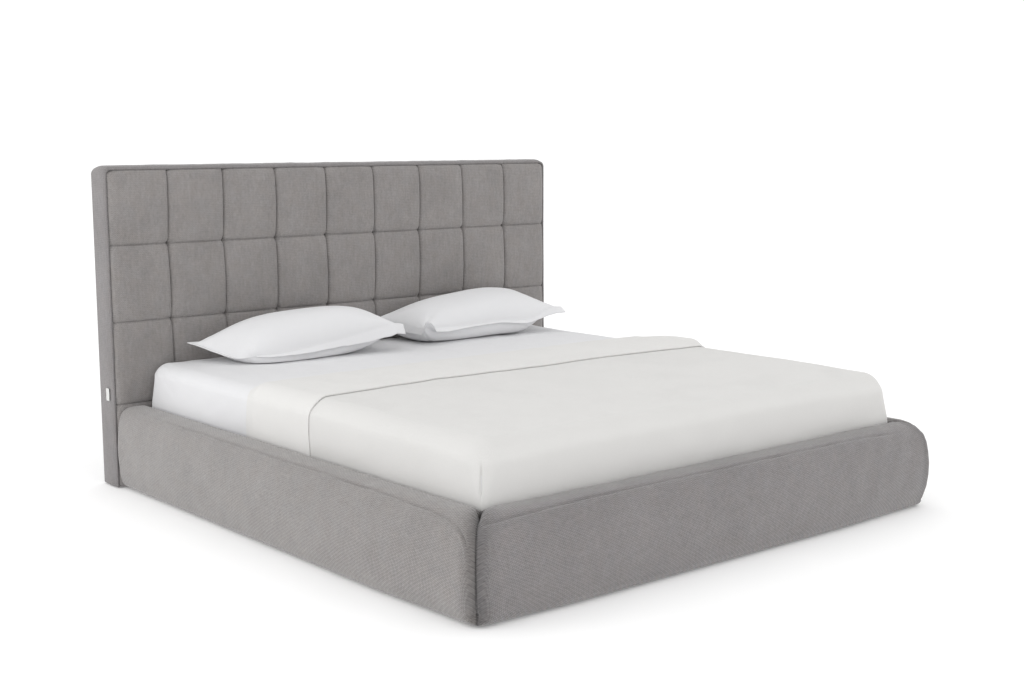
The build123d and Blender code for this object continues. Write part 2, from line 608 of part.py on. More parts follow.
with BuildPart() as slats_right:
    for place in slat_places:
        with BuildSketch(Plane.XZ.offset(-bed_y(place - SLAT_WIDTH / 2))) as slat_section:
            with BuildLine():
                ThreePointArc((SLAT_X[0], SLAT_END_Z), (slat_middle_x, SLAT_END_Z + SLAT_CROWN),
                              (SLAT_X[1], SLAT_END_Z))
                Line((SLAT_X[1], SLAT_END_Z), (SLAT_X[1], SLAT_END_Z + SLAT_THICKNESS))
                ThreePointArc((SLAT_X[1], SLAT_END_Z + SLAT_THICKNESS),
                              (slat_middle_x, SLAT_END_Z + SLAT_CROWN + SLAT_THICKNESS),
                              (SLAT_X[0], SLAT_END_Z + SLAT_THICKNESS))
                Line((SLAT_X[0], SLAT_END_Z + SLAT_THICKNESS), (SLAT_X[0], SLAT_END_Z))
            make_face()
        extrude(amount=SLAT_WIDTH)
save(slats_right, "slats_right")
save_mirrored(slats_right, "slats_left")

with BuildPart() as slat_holders:
    for place in slat_places:
        near, far = place - SLAT_WIDTH / 2 - HOLDER_WALL, place + SLAT_WIDTH / 2 + HOLDER_WALL
        for inner_x, outer_x in ((SLAT_X[0] - HOLDER_LAP, SLAT_X[0] + HOLDER_LENGTH - HOLDER_LAP),
                                 (SLAT_X[1] - HOLDER_LENGTH + HOLDER_LAP, SLAT_X[1] + HOLDER_LAP)):
            block((inner_x, outer_x), (near, far), (TUBE_TOP, HOLDER_TOP))
    for place in slat_places:
        near, far = place - SLAT_WIDTH / 2, place + SLAT_WIDTH / 2
        block(SLAT_X, (near, far), (SLAT_END_Z, SLAT_END_Z + SLAT_THICKNESS + HOLDER_PLAY),
              Mode.SUBTRACT)
    mirror(about=Plane.YZ)
save(slat_holders, "slat_holders")

# ---------------------------------------------------------------- mattress and bedding
with BuildPart() as mattress:
    block((-MATTRESS_HALF_WIDTH, MATTRESS_HALF_WIDTH), (MATTRESS_HEAD, MATTRESS_FOOT),
          (MATTRESS_BOTTOM, MATTRESS_TOP))
    fillet(mattress.edges().filter_by(Axis.Z), MATTRESS_CORNER)
    fillet(mattress.faces().sort_by(Axis.Z)[-1].edges(), MATTRESS_EDGE)
save(mattress, "mattress")

SHEET_Z = 458.6
COVER_HEAD = 760
COVER_Z = (SHEET_Z + 0.4, 474)
FOLD_HEAD = 728
FOLD_FOOT = 1134


def layer(outer, inner):
    """A cloth layer over the mattress, open below: each box is (half width, distances, heights)."""
    for (half_width, distances, heights), mode in ((outer, Mode.ADD), (inner, Mode.SUBTRACT)):
        block((-half_width, half_width), distances, heights, mode)


with BuildPart() as fitted_sheet:
    layer((898.6, (24.4, 2011.6), (264, SHEET_Z)), (896.4, (26.6, 2009.4), (264, SHEET_Z - 2.2)))
save(fitted_sheet, "fitted_sheet")

with BuildPart() as coverlet:
    layer((904, (COVER_HEAD, 2018), (280, COVER_Z[1])),
          (899, (COVER_HEAD, 2012), (280, COVER_Z[0])))
save(coverlet, "coverlet")

with BuildPart() as top_sheet:
    layer((907, (FOLD_HEAD, FOLD_FOOT), (296, 478)),
          (904.4, (COVER_HEAD - 0.4, FOLD_FOOT), (296, 474.4)))
    block((-899, 899), (FOLD_HEAD, COVER_HEAD - 0.4), (296, COVER_Z[0]), Mode.SUBTRACT)
save(top_sheet, "top_sheet")

PILLOW = (770, 440, 160)
for pillow_name, pillow_x, pillow_distance in (("left", -405, 246), ("right", 425, 262)):
    with BuildPart() as pillow:
        with Locations((pillow_x, bed_y(pillow_distance), SHEET_Z + 0.6 + PILLOW[2] / 2)):
            Box(*PILLOW)
        fillet(pillow.edges(), PILLOW[2] / 2 - 8)
    save(pillow, f"pillow_{pillow_name}")
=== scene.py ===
"""The looks of the upholstered bed, built round its CAD frame. Metres, +Z up, +Y to the headboard."""
import json
import math

import bmesh
import bpy
import numpy as np
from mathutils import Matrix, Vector


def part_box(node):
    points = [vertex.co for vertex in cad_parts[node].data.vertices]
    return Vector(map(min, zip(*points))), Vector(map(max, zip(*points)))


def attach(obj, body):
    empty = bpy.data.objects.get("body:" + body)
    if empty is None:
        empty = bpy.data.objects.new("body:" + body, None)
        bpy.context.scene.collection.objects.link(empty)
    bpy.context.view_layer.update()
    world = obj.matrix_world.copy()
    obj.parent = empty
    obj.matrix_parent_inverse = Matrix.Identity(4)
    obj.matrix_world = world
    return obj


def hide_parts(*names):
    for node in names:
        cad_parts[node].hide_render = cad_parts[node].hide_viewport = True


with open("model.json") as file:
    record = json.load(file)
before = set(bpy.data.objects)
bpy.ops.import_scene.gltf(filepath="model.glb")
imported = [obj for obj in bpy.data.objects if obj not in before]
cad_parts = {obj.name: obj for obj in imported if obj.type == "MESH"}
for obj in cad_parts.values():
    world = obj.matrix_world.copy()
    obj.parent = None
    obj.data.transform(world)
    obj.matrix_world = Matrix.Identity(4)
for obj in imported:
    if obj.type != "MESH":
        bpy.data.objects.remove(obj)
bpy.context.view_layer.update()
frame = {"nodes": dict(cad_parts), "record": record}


def box(node):
    """A CAD node's lowest and highest corners, as arrays."""
    low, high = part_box(node)
    return np.array(low, float), np.array(high, float)


# ---------------- places, from the frame
panel_low = box("headboard_front_panel")[0]
border_high = box("headboard_border")[1]
rail_low, rail_high = box("side_rail_right")
foot_high = box("foot_rail")[1]
mattress_low, mattress_high = box("mattress")
cover_low, cover_high = box("coverlet")
fold_low, fold_high = box("top_sheet")

HEAD_FACE = panel_low[1] - 0.030        # the seam plane at the headboard's front
INNER_X = rail_low[0]                   # the side rails' inner faces
INNER_FOOT = foot_high[1]               # the foot rail's inner face
FLOOR_GAP = rail_low[2]
BOARD_TOP = rail_high[2]
BOARD = rail_high[0] - rail_low[0]        # a rail board's thickness


def bed_y(distance):
    """Y of a place this far from the headboard's front."""
    return HEAD_FACE - distance


# ---------------- mesh helpers
MERGE = 1e-5                            # points nearer than this are one


def grid_faces(rows, columns, first=0, wrap_columns=False, flip=False):
    """Quads between the points of a grid stored row by row."""
    i = np.arange(rows - 1)[:, None]
    j = np.arange(columns if wrap_columns else columns - 1)[None, :]
    a = i * columns + j
    b = i * columns + (j + 1) % columns
    quads = np.stack([a, b, b + columns, a + columns], axis=-1).reshape(-1, 4) + first
    return quads[:, ::-1] if flip else quads


def make_mesh(name, points, faces):
    """A smooth mesh object, its doubled points joined and every face turned outward."""
    mesh = bpy.data.meshes.new(name)
    mesh.from_pydata(np.asarray(points, float).reshape(-1, 3).tolist(), [],
                     [tuple(int(k) for k in face) for face in faces])
    mesh.validate()
    mesh.update()
    mesh.polygons.foreach_set("use_smooth", [True] * len(mesh.polygons))
    work = bmesh.new()
    work.from_mesh(mesh)
    bmesh.ops.remove_doubles(work, verts=work.verts, dist=MERGE)
    bmesh.ops.recalc_face_normals(work, faces=work.faces)
    work.to_mesh(mesh)
    work.free()
    mesh.update()
    obj = bpy.data.objects.new(name, mesh)
    bpy.context.scene.collection.objects.link(obj)
    return obj


def rim_faces(rows, columns, second):
    """Quads joining the edges of two equal grids, the second's points starting at second."""
    index = np.arange(rows * columns).reshape(rows, columns)
    ring = np.concatenate([index[0], index[1:, -1], index[-1, -2::-1], index[-2:0:-1, 0]])
    before = np.roll(ring, 1)
    return np.stack([ring, before, before + second, ring + second], axis=1)


def slab(name, front, back):
    """A closed piece between two equal grids of points."""
    rows, columns = front.shape[:2]
    count = rows * columns
    faces = np.concatenate([grid_faces(rows, columns), grid_faces(rows, columns, count, flip=True),
                            rim_faces(rows, columns, count)])
    return make_mesh(name, np.concatenate([front.reshape(-1, 3), back.reshape(-1, 3)]), faces)


def tube(name, rings):
    """A tube with closed ends through equal rings of points."""
    count, around = rings.shape[:2]
    faces = grid_faces(count, around, wrap_columns=True).tolist()
    faces.append(range(around - 1, -1, -1))
    faces.append(range((count - 1) * around, count * around))
    return make_mesh(name, rings, faces)


def ripple(points, wavelength, seed, count=14):
    """A smooth random field over points, about -1 to 1, from a few seeded waves."""
    rng = np.random.default_rng(seed)
    directions = rng.normal(size=(count, 3))
    directions /= np.linalg.norm(directions, axis=1)[:, None]
    lengths = wavelength * rng.uniform(0.7, 1.6, count)
    phases = rng.uniform(0, 2 * math.pi, count)
    angle = np.asarray(points) @ (directions * (2 * math.pi / lengths)[:, None]).T + phases
    return np.cos(angle).sum(axis=-1) / math.sqrt(count)


def xyz(x, y, z):
    """Points from their three parts, numbers or arrays."""
    return np.stack(np.broadcast_arrays(x, y, z), axis=-1)


def bell(distance, width, power=2):
    """1 at no distance, and next to nothing some widths away."""
    return np.exp(-(distance / width) ** power)


def ease(value, low, high):
    """0 up to low, 1 from high on, and a smooth rise between."""
    share = np.clip((np.asarray(value, float) - low) / (high - low), 0, 1)
    return share * share * (3 - 2 * share)


def crowded(low, high, count, share=0.6):
    """Numbers from low to high, closer together at both ends."""
    k = np.linspace(0, 1, count)
    return low + (high - low) * (share * 0.5 * (1 - np.cos(math.pi * k)) + (1 - share) * k)


# ---------------- materials
PLAIN = (1.0, 1.0, 1.0)
SEAM_SHADE_SCALE = 10.0                       # ramp places per metre from a mitre seam, for the painted shade beside it
# painted shade: how dark the cloth is at each ramp place, darkest at the seam
SEAM_SHADE_STOPS = [(0.0, (0.30,) * 3), (0.03, (0.38,) * 3), (0.07, (0.60,) * 3),
              (0.25, (0.68,) * 3), (0.45, (0.82,) * 3), (0.90, PLAIN)]


def shade(colour):
    """A display colour, 0 to 255, as linear light."""
    return tuple((c / 255 / 12.92) if c / 255 <= 0.04045 else ((c / 255 + 0.055) / 1.055) ** 2.4
                 for c in colour)


class Material:
    """A new material and short ways to add nodes to it, whose values are numbers or sockets."""

    def __init__(self, name):
        self.made = bpy.data.materials.new(name)
        self.made.use_nodes = True
        self.nodes = self.made.node_tree.nodes
        self.shader = self.nodes["Principled BSDF"].inputs
        self.place = self.nodes.new("ShaderNodeTexCoord").outputs["Object"]

    def put(self, socket, value):
        """Links another socket to this one, or sets its value."""
        if hasattr(value, "is_linked"):
            self.made.node_tree.links.new(value, socket)
        else:
            socket.default_value = value

    def calculate(self, kind, operation, *values):
        """A node that works on values."""
        node = self.nodes.new(kind)
        node.operation = operation
        for socket, value in zip(node.inputs, values):
            self.put(socket, value)
        return node.outputs

    def math(self, operation, *values):
        """The result of a sum on numbers."""
        return self.calculate("ShaderNodeMath", operation, *values)[0]

    def vector(self, operation, *values):
        """The result of a sum on vectors."""
        return self.calculate("ShaderNodeVectorMath", operation, *values)["Vector"]

    def along(self, place, *direction):
        """How far a place lies along a direction."""
        return self.calculate("ShaderNodeVectorMath", "DOT_PRODUCT", place, direction)["Value"]

    def noise(self, scale, detail=2.0, roughness=0.5, place=None, output="Fac"):
        """Noise over the piece, or over another place."""
        node = self.nodes.new("ShaderNodeTexNoise")
        for socket, value in (("Vector", place or self.place), ("Scale", scale),
                              ("Detail", detail), ("Roughness", roughness)):
            self.put(node.inputs[socket], value)
        return node.outputs[output]

    def ramp(self, factor, stops):
        """A colour ramp, its stops as (place, colour)."""
        node = self.nodes.new("ShaderNodeValToRGB")
        elements = node.color_ramp.elements
        while len(elements) < len(stops):
            elements.new(0.5)
        for element, (place, colour) in zip(elements, stops):
            element.position = place
            element.color = (*colour, 1)
        self.put(node.inputs["Fac"], factor)
        return node.outputs["Color"]

    def mix(self, factor, first, second, blend="MIX"):
        """Two colours mixed. The colour sockets of the node are the seventh and the eighth."""
        node = self.nodes.new("ShaderNodeMix")
        node.data_type = "RGBA"
        node.blend_type = blend
        self.put(node.inputs[0], factor)
        for socket, colour in ((node.inputs[6], first), (node.inputs[7], second)):
            self.put(socket, (*colour, 1) if isinstance(colour, tuple) else colour)
        return node.outputs[2]

    def finish(self, colour, height, strength, distance, **values):
        """Gives the shader its colour, its bump and its other values, and returns the material."""
        bump = self.nodes.new("ShaderNodeBump")
        for socket, value in (("Height", height), ("Strength", strength), ("Distance", distance)):
            self.put(bump.inputs[socket], value)
        self.put(self.shader["Base Color"], colour)
        self.put(self.shader["Normal"], bump.outputs["Normal"])
        for socket, value in values.items():
            self.put(self.shader[socket.replace("_", " ")], value)
        return self.made


def thread_lattice(cloth, spot, turn, twill, wrap):
    """How far a spot is along and across the slanting lattice of threads, turn radians a metre."""
    if wrap == "foot":
        return (cloth.along(spot, turn, 0, -turn * twill),
                cloth.along(spot, turn * twill, turn, turn))
    if wrap == "side":
        outward = cloth.math("ABSOLUTE", cloth.along(spot, 1, 0, 0))
        across = cloth.math("MULTIPLY_ADD", outward, -turn,
                            cloth.along(spot, 0, turn * twill, turn))
        return cloth.along(spot, 0, turn, -turn * twill), across
    return (cloth.along(spot, turn, turn, -turn * twill),
            cloth.along(spot, turn * twill, turn * twill, turn))


def painted_seam_shade(cloth, colour):
    """A rail cloth's colour with painted shade beside a mitre seam, darkest at the seam."""
    outward = cloth.math("ABSOLUTE", cloth.along(cloth.place, 1, 0, 0))
    past = cloth.math("ADD", cloth.along(cloth.place, 0, 1, 0),
                      cloth.math("SUBTRACT", outward, INNER_X + INNER_FOOT))
    from_seam = cloth.math("MULTIPLY", cloth.math("ABSOLUTE", past), SEAM_SHADE_SCALE)
    return cloth.mix(1.0, colour, cloth.ramp(from_seam, SEAM_SHADE_STOPS), "MULTIPLY")


def woven_material(name, light, dark, pitch, depth, twill=0.6, sheen=0.25, blotch=0.1,
                   tint=(1.0, 0.985, 0.97), fuzz=0.35, slub=0.0, slub_grain=(1, 1, 1),
                   contrast=1.0, wrap=None):
    """Woven cloth: threads raised on a slanting lattice, fuzz, streaks along the yarn, blotches.

    wrap says how the lattice goes round a rail: "foot" along x and over y, "side" along y and
    over x, alike on the left and the right."""
    cloth = Material(name)
    wobble = cloth.noise(0.16 / pitch, output="Color")
    spot = cloth.vector("MULTIPLY_ADD", wobble, (pitch * 0.7,) * 3, cloth.place)
    along, across = thread_lattice(cloth, spot, 2 * math.pi / pitch, twill, wrap)
    ridge = cloth.math("SINE", across)
    threads = cloth.math("MULTIPLY_ADD", cloth.math("SINE", along), ridge,
                         cloth.math("MULTIPLY", ridge, 0.4))
    fine = cloth.noise(0.9 / pitch, 3, 0.65)
    height = cloth.math("MULTIPLY_ADD", fine, fuzz * 2, cloth.math("MULTIPLY", threads, 0.5))
    # colour follows the threads: painted shade in the dips between them, real tone from fuzz and
    # slubs
    relief = cloth.math("MULTIPLY_ADD", threads, 0.32 * contrast,
                        cloth.math("MULTIPLY_ADD", fine, fuzz * 1.6, 0.5 - fuzz * 0.8))
    if slub:
        stretched = cloth.vector("MULTIPLY", cloth.place, slub_grain)
        yarn = cloth.noise(1.0, 3, 0.7, stretched)
        relief = cloth.math("ADD", relief, cloth.math("MULTIPLY_ADD", yarn, slub, -slub / 2))
    patches = cloth.ramp(cloth.noise(5.0, 5, 0.68), [(0.36, (1 - blotch,) * 3), (0.64, PLAIN)])
    cast = cloth.ramp(cloth.noise(21.0, 3, 0.6), [(0.35, tint), (0.65, tint[::-1])])
    colour = cloth.mix(relief, shade(dark), shade(light))
    colour = cloth.mix(1.0, colour, patches, "MULTIPLY")
    colour = cloth.mix(0.6, colour, cast, "MULTIPLY")
    # rail cloths get painted shade beside their mitre seams
    if wrap:
        colour = painted_seam_shade(cloth, colour)
    return cloth.finish(colour, height, 0.75, depth, Roughness=0.85, Sheen_Weight=sheen,
                        Sheen_Roughness=0.45, Specular_IOR_Level=0.25)


def wood_material(name, light, dark, grain_axis=1, scale=1.0):
    """Sawn or laminated wood with its grain along one axis."""
    wood = Material(name)
    factors = [26.0 * scale] * 3
    factors[grain_axis] = 1.6 * scale
    stretched = wood.vector("MULTIPLY", wood.place, factors)
    grain = wood.noise(1.0, 6, 0.62, stretched)
    pores = wood.noise(7.0, 4, 0.7, stretched)
    both = wood.math("MULTIPLY_ADD", pores, 0.35, wood.math("MULTIPLY", grain, 0.75))
    colour = wood.ramp(both, [(0.34, shade(dark)), (0.62, shade(light))])
    return wood.finish(colour, both, 0.35, 0.0008, Roughness=0.62)


def metal_material(name, colour, rough, metallic, grain=160.0, depth=0.0002):
    """Coated or plated steel, or plastic, with fine texture and uneven gloss."""
    metal = Material(name)
    speckle = metal.noise(grain, 4, 0.6)
    smear = metal.noise(9.0, 5, 0.65)
    worn = tuple(min(1.0, c * 1.35 + 0.01) for c in shade(colour))
    gloss = metal.math("MULTIPLY_ADD", smear, 0.25, rough - 0.12)
    return metal.finish(metal.ramp(smear, [(0.35, shade(colour)), (0.75, worn)]), speckle, 0.5,
                        depth, Roughness=gloss, Metallic=metallic)


HEAD_GREYS = (171, 167, 165), (107, 103, 102)
# the same cloth a little darker on the side rails: painted shade
SIDE_SHADED_GREYS = (168, 164, 162), (105, 101, 100)
SHADED_COPY_GREYS = (157, 153, 153), (97, 94, 94)     # the same cloth made darker: painted shade on the foot rail, the border and the piping
RAIL_WEAVE = dict(pitch=0.0092, depth=0.0014, twill=0.5, blotch=0.08, slub=0.25,
                  slub_grain=(90, 90, 90), contrast=0.66, sheen=0.45, fuzz=0.36)
HEAD_WEAVE = dict(pitch=0.0066, depth=0.0009, twill=0.0, blotch=0.12, slub=0.40,
                  slub_grain=(110, 110, 22), contrast=0.35, fuzz=0.30)
COTTON = dict(twill=0.0, sheen=0.08, blotch=0.015, tint=PLAIN, contrast=0.35)
SHEET_COTTON = dict(pitch=0.0024, depth=0.0002, fuzz=0.15, **COTTON)
QUILT_COTTON = dict(pitch=0.0030, depth=0.0003, fuzz=0.2, **COTTON)

rail_cloth = woven_material("rail_chenille", *SIDE_SHADED_GREYS, wrap="side", **RAIL_WEAVE)
foot_shaded_cloth = woven_material("foot_rail_chenille_shaded", *SHADED_COPY_GREYS, wrap="foot", **RAIL_WEAVE)
head_cloth = woven_material("headboard_chenille", *HEAD_GREYS, **HEAD_WEAVE)
border_shaded_cloth = woven_material("border_chenille_shaded", *SHADED_COPY_GREYS, **HEAD_WEAVE)
back_cloth = woven_material("back_cloth", (120, 117, 115), (70, 68, 67), 0.0022, 0.0006,
                            sheen=0.05)
sheet_cotton = woven_material("sheet_cotton", (228, 228, 229), (215, 215, 217), **SHEET_COTTON)
pillow_cotton = woven_material("pillow_cotton", (230, 230, 231), (218, 218, 220), **SHEET_COTTON)
cover_cotton = woven_material("cover_cotton", (223, 222, 220), (207, 206, 204), **QUILT_COTTON)
fold_cotton = woven_material("fold_cotton", (227, 226, 224), (213, 212, 210), **QUILT_COTTON)
ticking = woven_material("ticking", (226, 224, 219), (188, 186, 181), 0.006, 0.0012, blotch=0.03,
                         tint=PLAIN)
label_cloth = woven_material("label_cloth", (226, 226, 224), (200, 200, 198), 0.0011, 0.0002,
                             twill=0.0, blotch=0.01, tint=PLAIN)
pine = wood_material("pine", (206, 172, 124), (160, 120, 76))
beech = wood_material("beech", (222, 190, 148), (186, 148, 104), grain_axis=0)
hardboard = wood_material("hardboard", (142, 106, 76), (112, 80, 54), scale=6.0)
black_steel = metal_material("black_steel", (34, 34, 36), 0.5, 0.2, depth=0.0003)
zinc_steel = metal_material("zinc_steel", (176, 178, 180), 0.34, 0.95)
black_plastic = metal_material("black_plastic", (28, 28, 29), 0.6, 0.0, grain=420.0)

SLOT_MATERIALS = {"upholstery": head_cloth, "back_cloth": back_cloth, "label": label_cloth,
                  "timber": pine, "hardboard": hardboard, "slat_wood": beech,
                  "plastic": black_plastic, "zinc_steel": zinc_steel,
                  "black_steel": black_steel, "ticking": ticking,
                  "sheet_cotton": sheet_cotton, "cover_cotton": cover_cotton}
for subpart in frame["record"]["subparts"]:
    node = frame["nodes"][subpart["node"]]
    node.data.materials.clear()
    node.data.materials.append(SLOT_MATERIALS[subpart["material_slot"]])


def finish_piece(obj, material, body, node):
    """Gives a piece its material and its body, and hides the CAD node it stands for."""
    obj.data.materials.append(material)
    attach(obj, body)
    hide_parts(node)
    return obj


# ---------------- headboard
COLUMNS = 9
PAD_X = border_high[0] - 0.008          # half width of the tufted field, inside the piping
PAD_TOP = border_high[2] - 0.0145
PAD_CORNER = 0.014
ROW_SEAMS = (0.312, 0.615, 0.896)
TILE_HEIGHT = 0.011                     # how far the padding stands in front of the seam plane
TILE_DOME = 0.0075
UPRIGHT_SEAM, LEVEL_SEAM, EDGE_SEAM = (0.0125, 0.0034), (0.0080, 0.0032), (0.0100, 0.0075)
SEAM_HOLLOW = 0.020                     # how far the hollow beside any seam reaches
PUCKER_DEPTH, PUCKER_REACH = 0.0120, 0.010
TILE_STEPS = (36, 40)


def half_width_at(z, half_width, top, corner):
    """Half width of the headboard's outline at a height, with its rounded top corners."""
    up = np.clip(z - (top - corner), 0, corner)
    return half_width - corner + np.sqrt(np.maximum(corner ** 2 - up ** 2, 0))


def tufted_front():
    """Grid of points over the headboard's tufted front."""
    rng = np.random.default_rng(11)
    row_edges = np.array([FLOOR_GAP, *ROW_SEAMS, PAD_TOP])
    rows = len(row_edges) - 1
    column_edges = np.linspace(-PAD_X, PAD_X, COLUMNS + 1)
    bows = rng.uniform(0.002, 0.0055, (rows, COLUMNS + 1))
    jitter = rng.uniform(-0.003, 0.003, (rows + 1, COLUMNS + 1))
    phases = rng.uniform(0, 2 * math.pi, (rows + 1, COLUMNS + 1))
    across, up = (crowded(0, 1, count + 1, 0.9) for count in TILE_STEPS)
    row, vk = np.array([(r, share) for r in range(rows) for share in up[bool(r):]]).T[..., None]
    column, um = np.array([(c, share) for c in range(COLUMNS)
                           for share in across[bool(c):]]).T[:, None]
    row, column = row.astype(int), column.astype(int)

    def seam_x(e):
        """X of the upright seams: each bows and wanders, save the field's own sides."""
        wander = (jitter[row, e] * (1 - vk) + jitter[row + 1, e] * vk
                  + bows[row, e] * np.sin(math.pi * vk))
        return column_edges[e] + np.where((e == 0) | (e == COLUMNS), 0, wander)

    x = seam_x(column) + (seam_x(column + 1) - seam_x(column)) * um
    tile_h = row_edges[row + 1] - row_edges[row]
    z = row_edges[row] + tile_h * vk
    tile_w = 2 * PAD_X / COLUMNS
    left_d, right_d = um * tile_w, (1 - um) * tile_w
    low_d, high_d = vk * tile_h, (1 - vk) * tile_h

    def groove(distance, at_edge, seam):
        """How deep a seam draws the cloth in at a distance; seams are (depth, reach)."""
        depth, reach = (np.where(at_edge, EDGE_SEAM[k], seam[k]) for k in (0, 1))
        return depth * (0.72 * np.exp(-distance / reach)
                        + 0.28 * np.exp(-distance / SEAM_HOLLOW))

    height = np.full(x.shape, TILE_HEIGHT)
    height += TILE_DOME * (4 * um * (1 - um)) ** 0.55 * (4 * vk * (1 - vk)) ** 0.5
    height -= groove(left_d, column == 0, UPRIGHT_SEAM)
    height -= groove(right_d, column == COLUMNS - 1, UPRIGHT_SEAM)
    height -= groove(low_d, False, LEVEL_SEAM)
    height -= groove(high_d, row == rows - 1, LEVEL_SEAM)
    for side in (0, 1):
        for end in (0, 1):
            dx, dz = (um - side) * tile_w, (vk - end) * tile_h
            e, s = column + side, row + end
            inner = (e > 0) & (e < COLUMNS) & (s > 0) & (s < rows)
            far = np.hypot(dx, dz)
            angle = np.arctan2(dz, dx)
            folds = np.cos(7 * angle + phases[s, e]) + 0.6 * np.cos(12 * angle)
            folds *= np.exp(-far / 0.026) * (1 - bell(far, 0.009))
            dent = PUCKER_DEPTH * bell(far, PUCKER_REACH, 1.4)
            height -= np.where(inner, dent - 0.0022 * folds, 0)
            pinch = (~inner) & (s > 0)
            height -= np.where(pinch, 0.003 * bell(far, 0.02, 1.4) - 0.001 * folds, 0)
    flat = xyz(x, 0, z)
    height += 0.0007 * ripple(flat, 0.16, 3) + 0.0003 * ripple(flat, 0.05, 4)
    shrink = half_width_at(z, PAD_X, PAD_TOP, PAD_CORNER) / PAD_X
    return xyz(x * shrink, HEAD_FACE - height, z)


front = tufted_front()
behind = front.copy()
behind[..., 1] = panel_low[1] - 0.0005
finish_piece(slab("tufted_headboard", front, behind), head_cloth, "root",
             "headboard_pad")


def headboard_outline(half_width, top, corner, step=0.012):
    """Points and outward directions up the left side, over the top and down the right."""
    left = [(-half_width, z, -1, 0) for z in np.arange(FLOOR_GAP, top - corner, step)]
    for a in np.linspace(math.pi, math.pi / 2, 12):
        left.append((-half_width + corner + corner * math.cos(a),
                     top - corner + corner * math.sin(a), math.cos(a), math.sin(a)))
    over = [(x, top, 0, 1) for x in np.arange(-half_width + corner + step,
                                              half_width - corner - step / 2, step)]
    return np.concatenate([left, over, np.array(left)[::-1] * (-1, 1, -1, 1)])


PIPING = border_high[0] - 0.003, border_high[2] - 0.010, 0.020      # half width, top, corner
PIPING_RADIUS = 0.0042
BORDER_FRONT = HEAD_FACE + 0.0045
outline = headboard_outline(*PIPING)


def border_strip():
    """The padded strip between the piping and the back, fullest two fifths of the way back."""
    depth = np.concatenate([[0.0], crowded(0.02, 1, 22, 0.5)])
    y = BORDER_FRONT + depth * (border_high[1] - BORDER_FRONT)
    x, z, out_x, out_z = (outline[:, k:k + 1] for k in range(4))
    reach = 0.001 + (0.004 + 0.008 * out_z ** 2) * np.sin(math.pi * depth ** 0.75) ** 0.6
    outer = xyz(x + out_x * reach, y, z + out_z * reach)
    wrinkle = 0.0006 * ripple(outer, 0.11, 7) + 0.0003 * ripple(outer, 0.03, 8)
    wrinkle *= np.sin(math.pi * depth)
    outer += xyz(out_x * wrinkle, 0, out_z * wrinkle)
    outer[..., 2] = np.maximum(outer[..., 2], FLOOR_GAP)
    inner = xyz(x - out_x * 0.0105, y, np.maximum(z - out_z * 0.0035, FLOOR_GAP))
    return outer, inner


finish_piece(slab("headboard_border_strip", *border_strip()), border_shaded_cloth, "root",
             "headboard_border")


def piping_cord():
    """The piping round the headboard's front, as rings across the outline."""
    around = headboard_outline(*PIPING, 0.006)
    centres = xyz(around[:, 0], HEAD_FACE + 0.0015, around[:, 1])
    centres[:, 1] += 0.0006 * ripple(centres, 0.15, 9)
    outward = xyz(around[:, 2], 0, around[:, 3])
    angles = np.linspace(0, 2 * math.pi, 12, endpoint=False)
    radius = PIPING_RADIUS * (1 + 0.03 * ripple(centres, 0.02, 10))[:, None]
    out = outward[:, None, :] * (radius * np.cos(angles))[..., None]
    back = np.array([0, 1, 0]) * (radius * np.sin(angles))[..., None]
    return tube("headboard_piping_cord", centres[:, None, :] + out + back)


finish_piece(piping_cord(), border_shaded_cloth, "root", "headboard_piping")


def back_sheet():
    """The cloth stapled over the headboard's back, drawn in at its hem."""
    z = crowded(FLOOR_GAP + 0.002, border_high[2] - 0.007, 60, 0.3)
    s = crowded(-1, 1, 90, 0.3)
    half = half_width_at(z, border_high[0] - 0.005, border_high[2] - 0.007, 0.020)
    z, half = z[:, None], half[:, None]
    x = half * s
    edge = np.minimum((1 - np.abs(s)) * half, np.minimum(z - z[0], z[-1] - z))
    out = 0.0022 * (1 - np.exp(-edge / 0.012)) - 0.0012 * bell(edge - 0.022, 0.003)
    out += 0.0004 * ripple(xyz(x, 0, z), 0.25, 12)
    return xyz(x, border_high[1] + 0.0006 + out, z), xyz(x, border_high[1], z)


finish_piece(slab("headboard_back_sheet", *back_sheet()), back_cloth, "root",
             "headboard_back_cover")


# ---------------- rails
CORNER_PROFILE = [(-0.0008, 0.232), (-0.0009, 0.262), (-0.0012, 0.284), (0.003, 0.298),
                  (0.014, 0.3045), (0.031, 0.305), (0.050, 0.301), (0.067, 0.293),
                  (0.083, 0.280), (0.096, 0.262), (0.105, 0.235), (0.110, 0.200),
                  (0.113, 0.162), (0.112, 0.118), (0.108, 0.078), (0.100, 0.042),
                  (0.090, 0.018), (0.078, 0.0075), (0.060, 0.0052), (0.030, 0.0052)]
MIDDLE_PROFILE = [(-0.0008, 0.232), (-0.0009, 0.262), (-0.0012, 0.284), (0.003, 0.297),
                  (0.014, 0.3025), (0.035, 0.3035), (0.060, 0.303), (0.079, 0.300),
                  (0.094, 0.292), (0.105, 0.279), (0.112, 0.258), (0.117, 0.235),
                  (0.121, 0.198), (0.1225, 0.150), (0.121, 0.100), (0.117, 0.055),
                  (0.110, 0.026), (0.099, 0.0100), (0.083, 0.0055), (0.060, 0.0052),
                  (0.030, 0.0052)]
CREASE_RUN = 0.152                      # way along the section to the fold where top meets side
CREASE_FALL = 0.00176                   # the fold runs down beside the seam at a side rail's foot,
CREASE_LEVEL = 0.0097                   # FALL / (distance from the seam + SHIFT) - LEVEL
CREASE_SHIFT = 0.012
CREASE_DEPTH, CREASE_WIDTH = 0.0046, 0.0036
RIDGE_HEIGHT, RIDGE_WIDTH = 0.0022, 0.007       # the fullness beyond the fold
SEAM_ROLL = 0.012                       # how far the padding rolls in at the corner seams
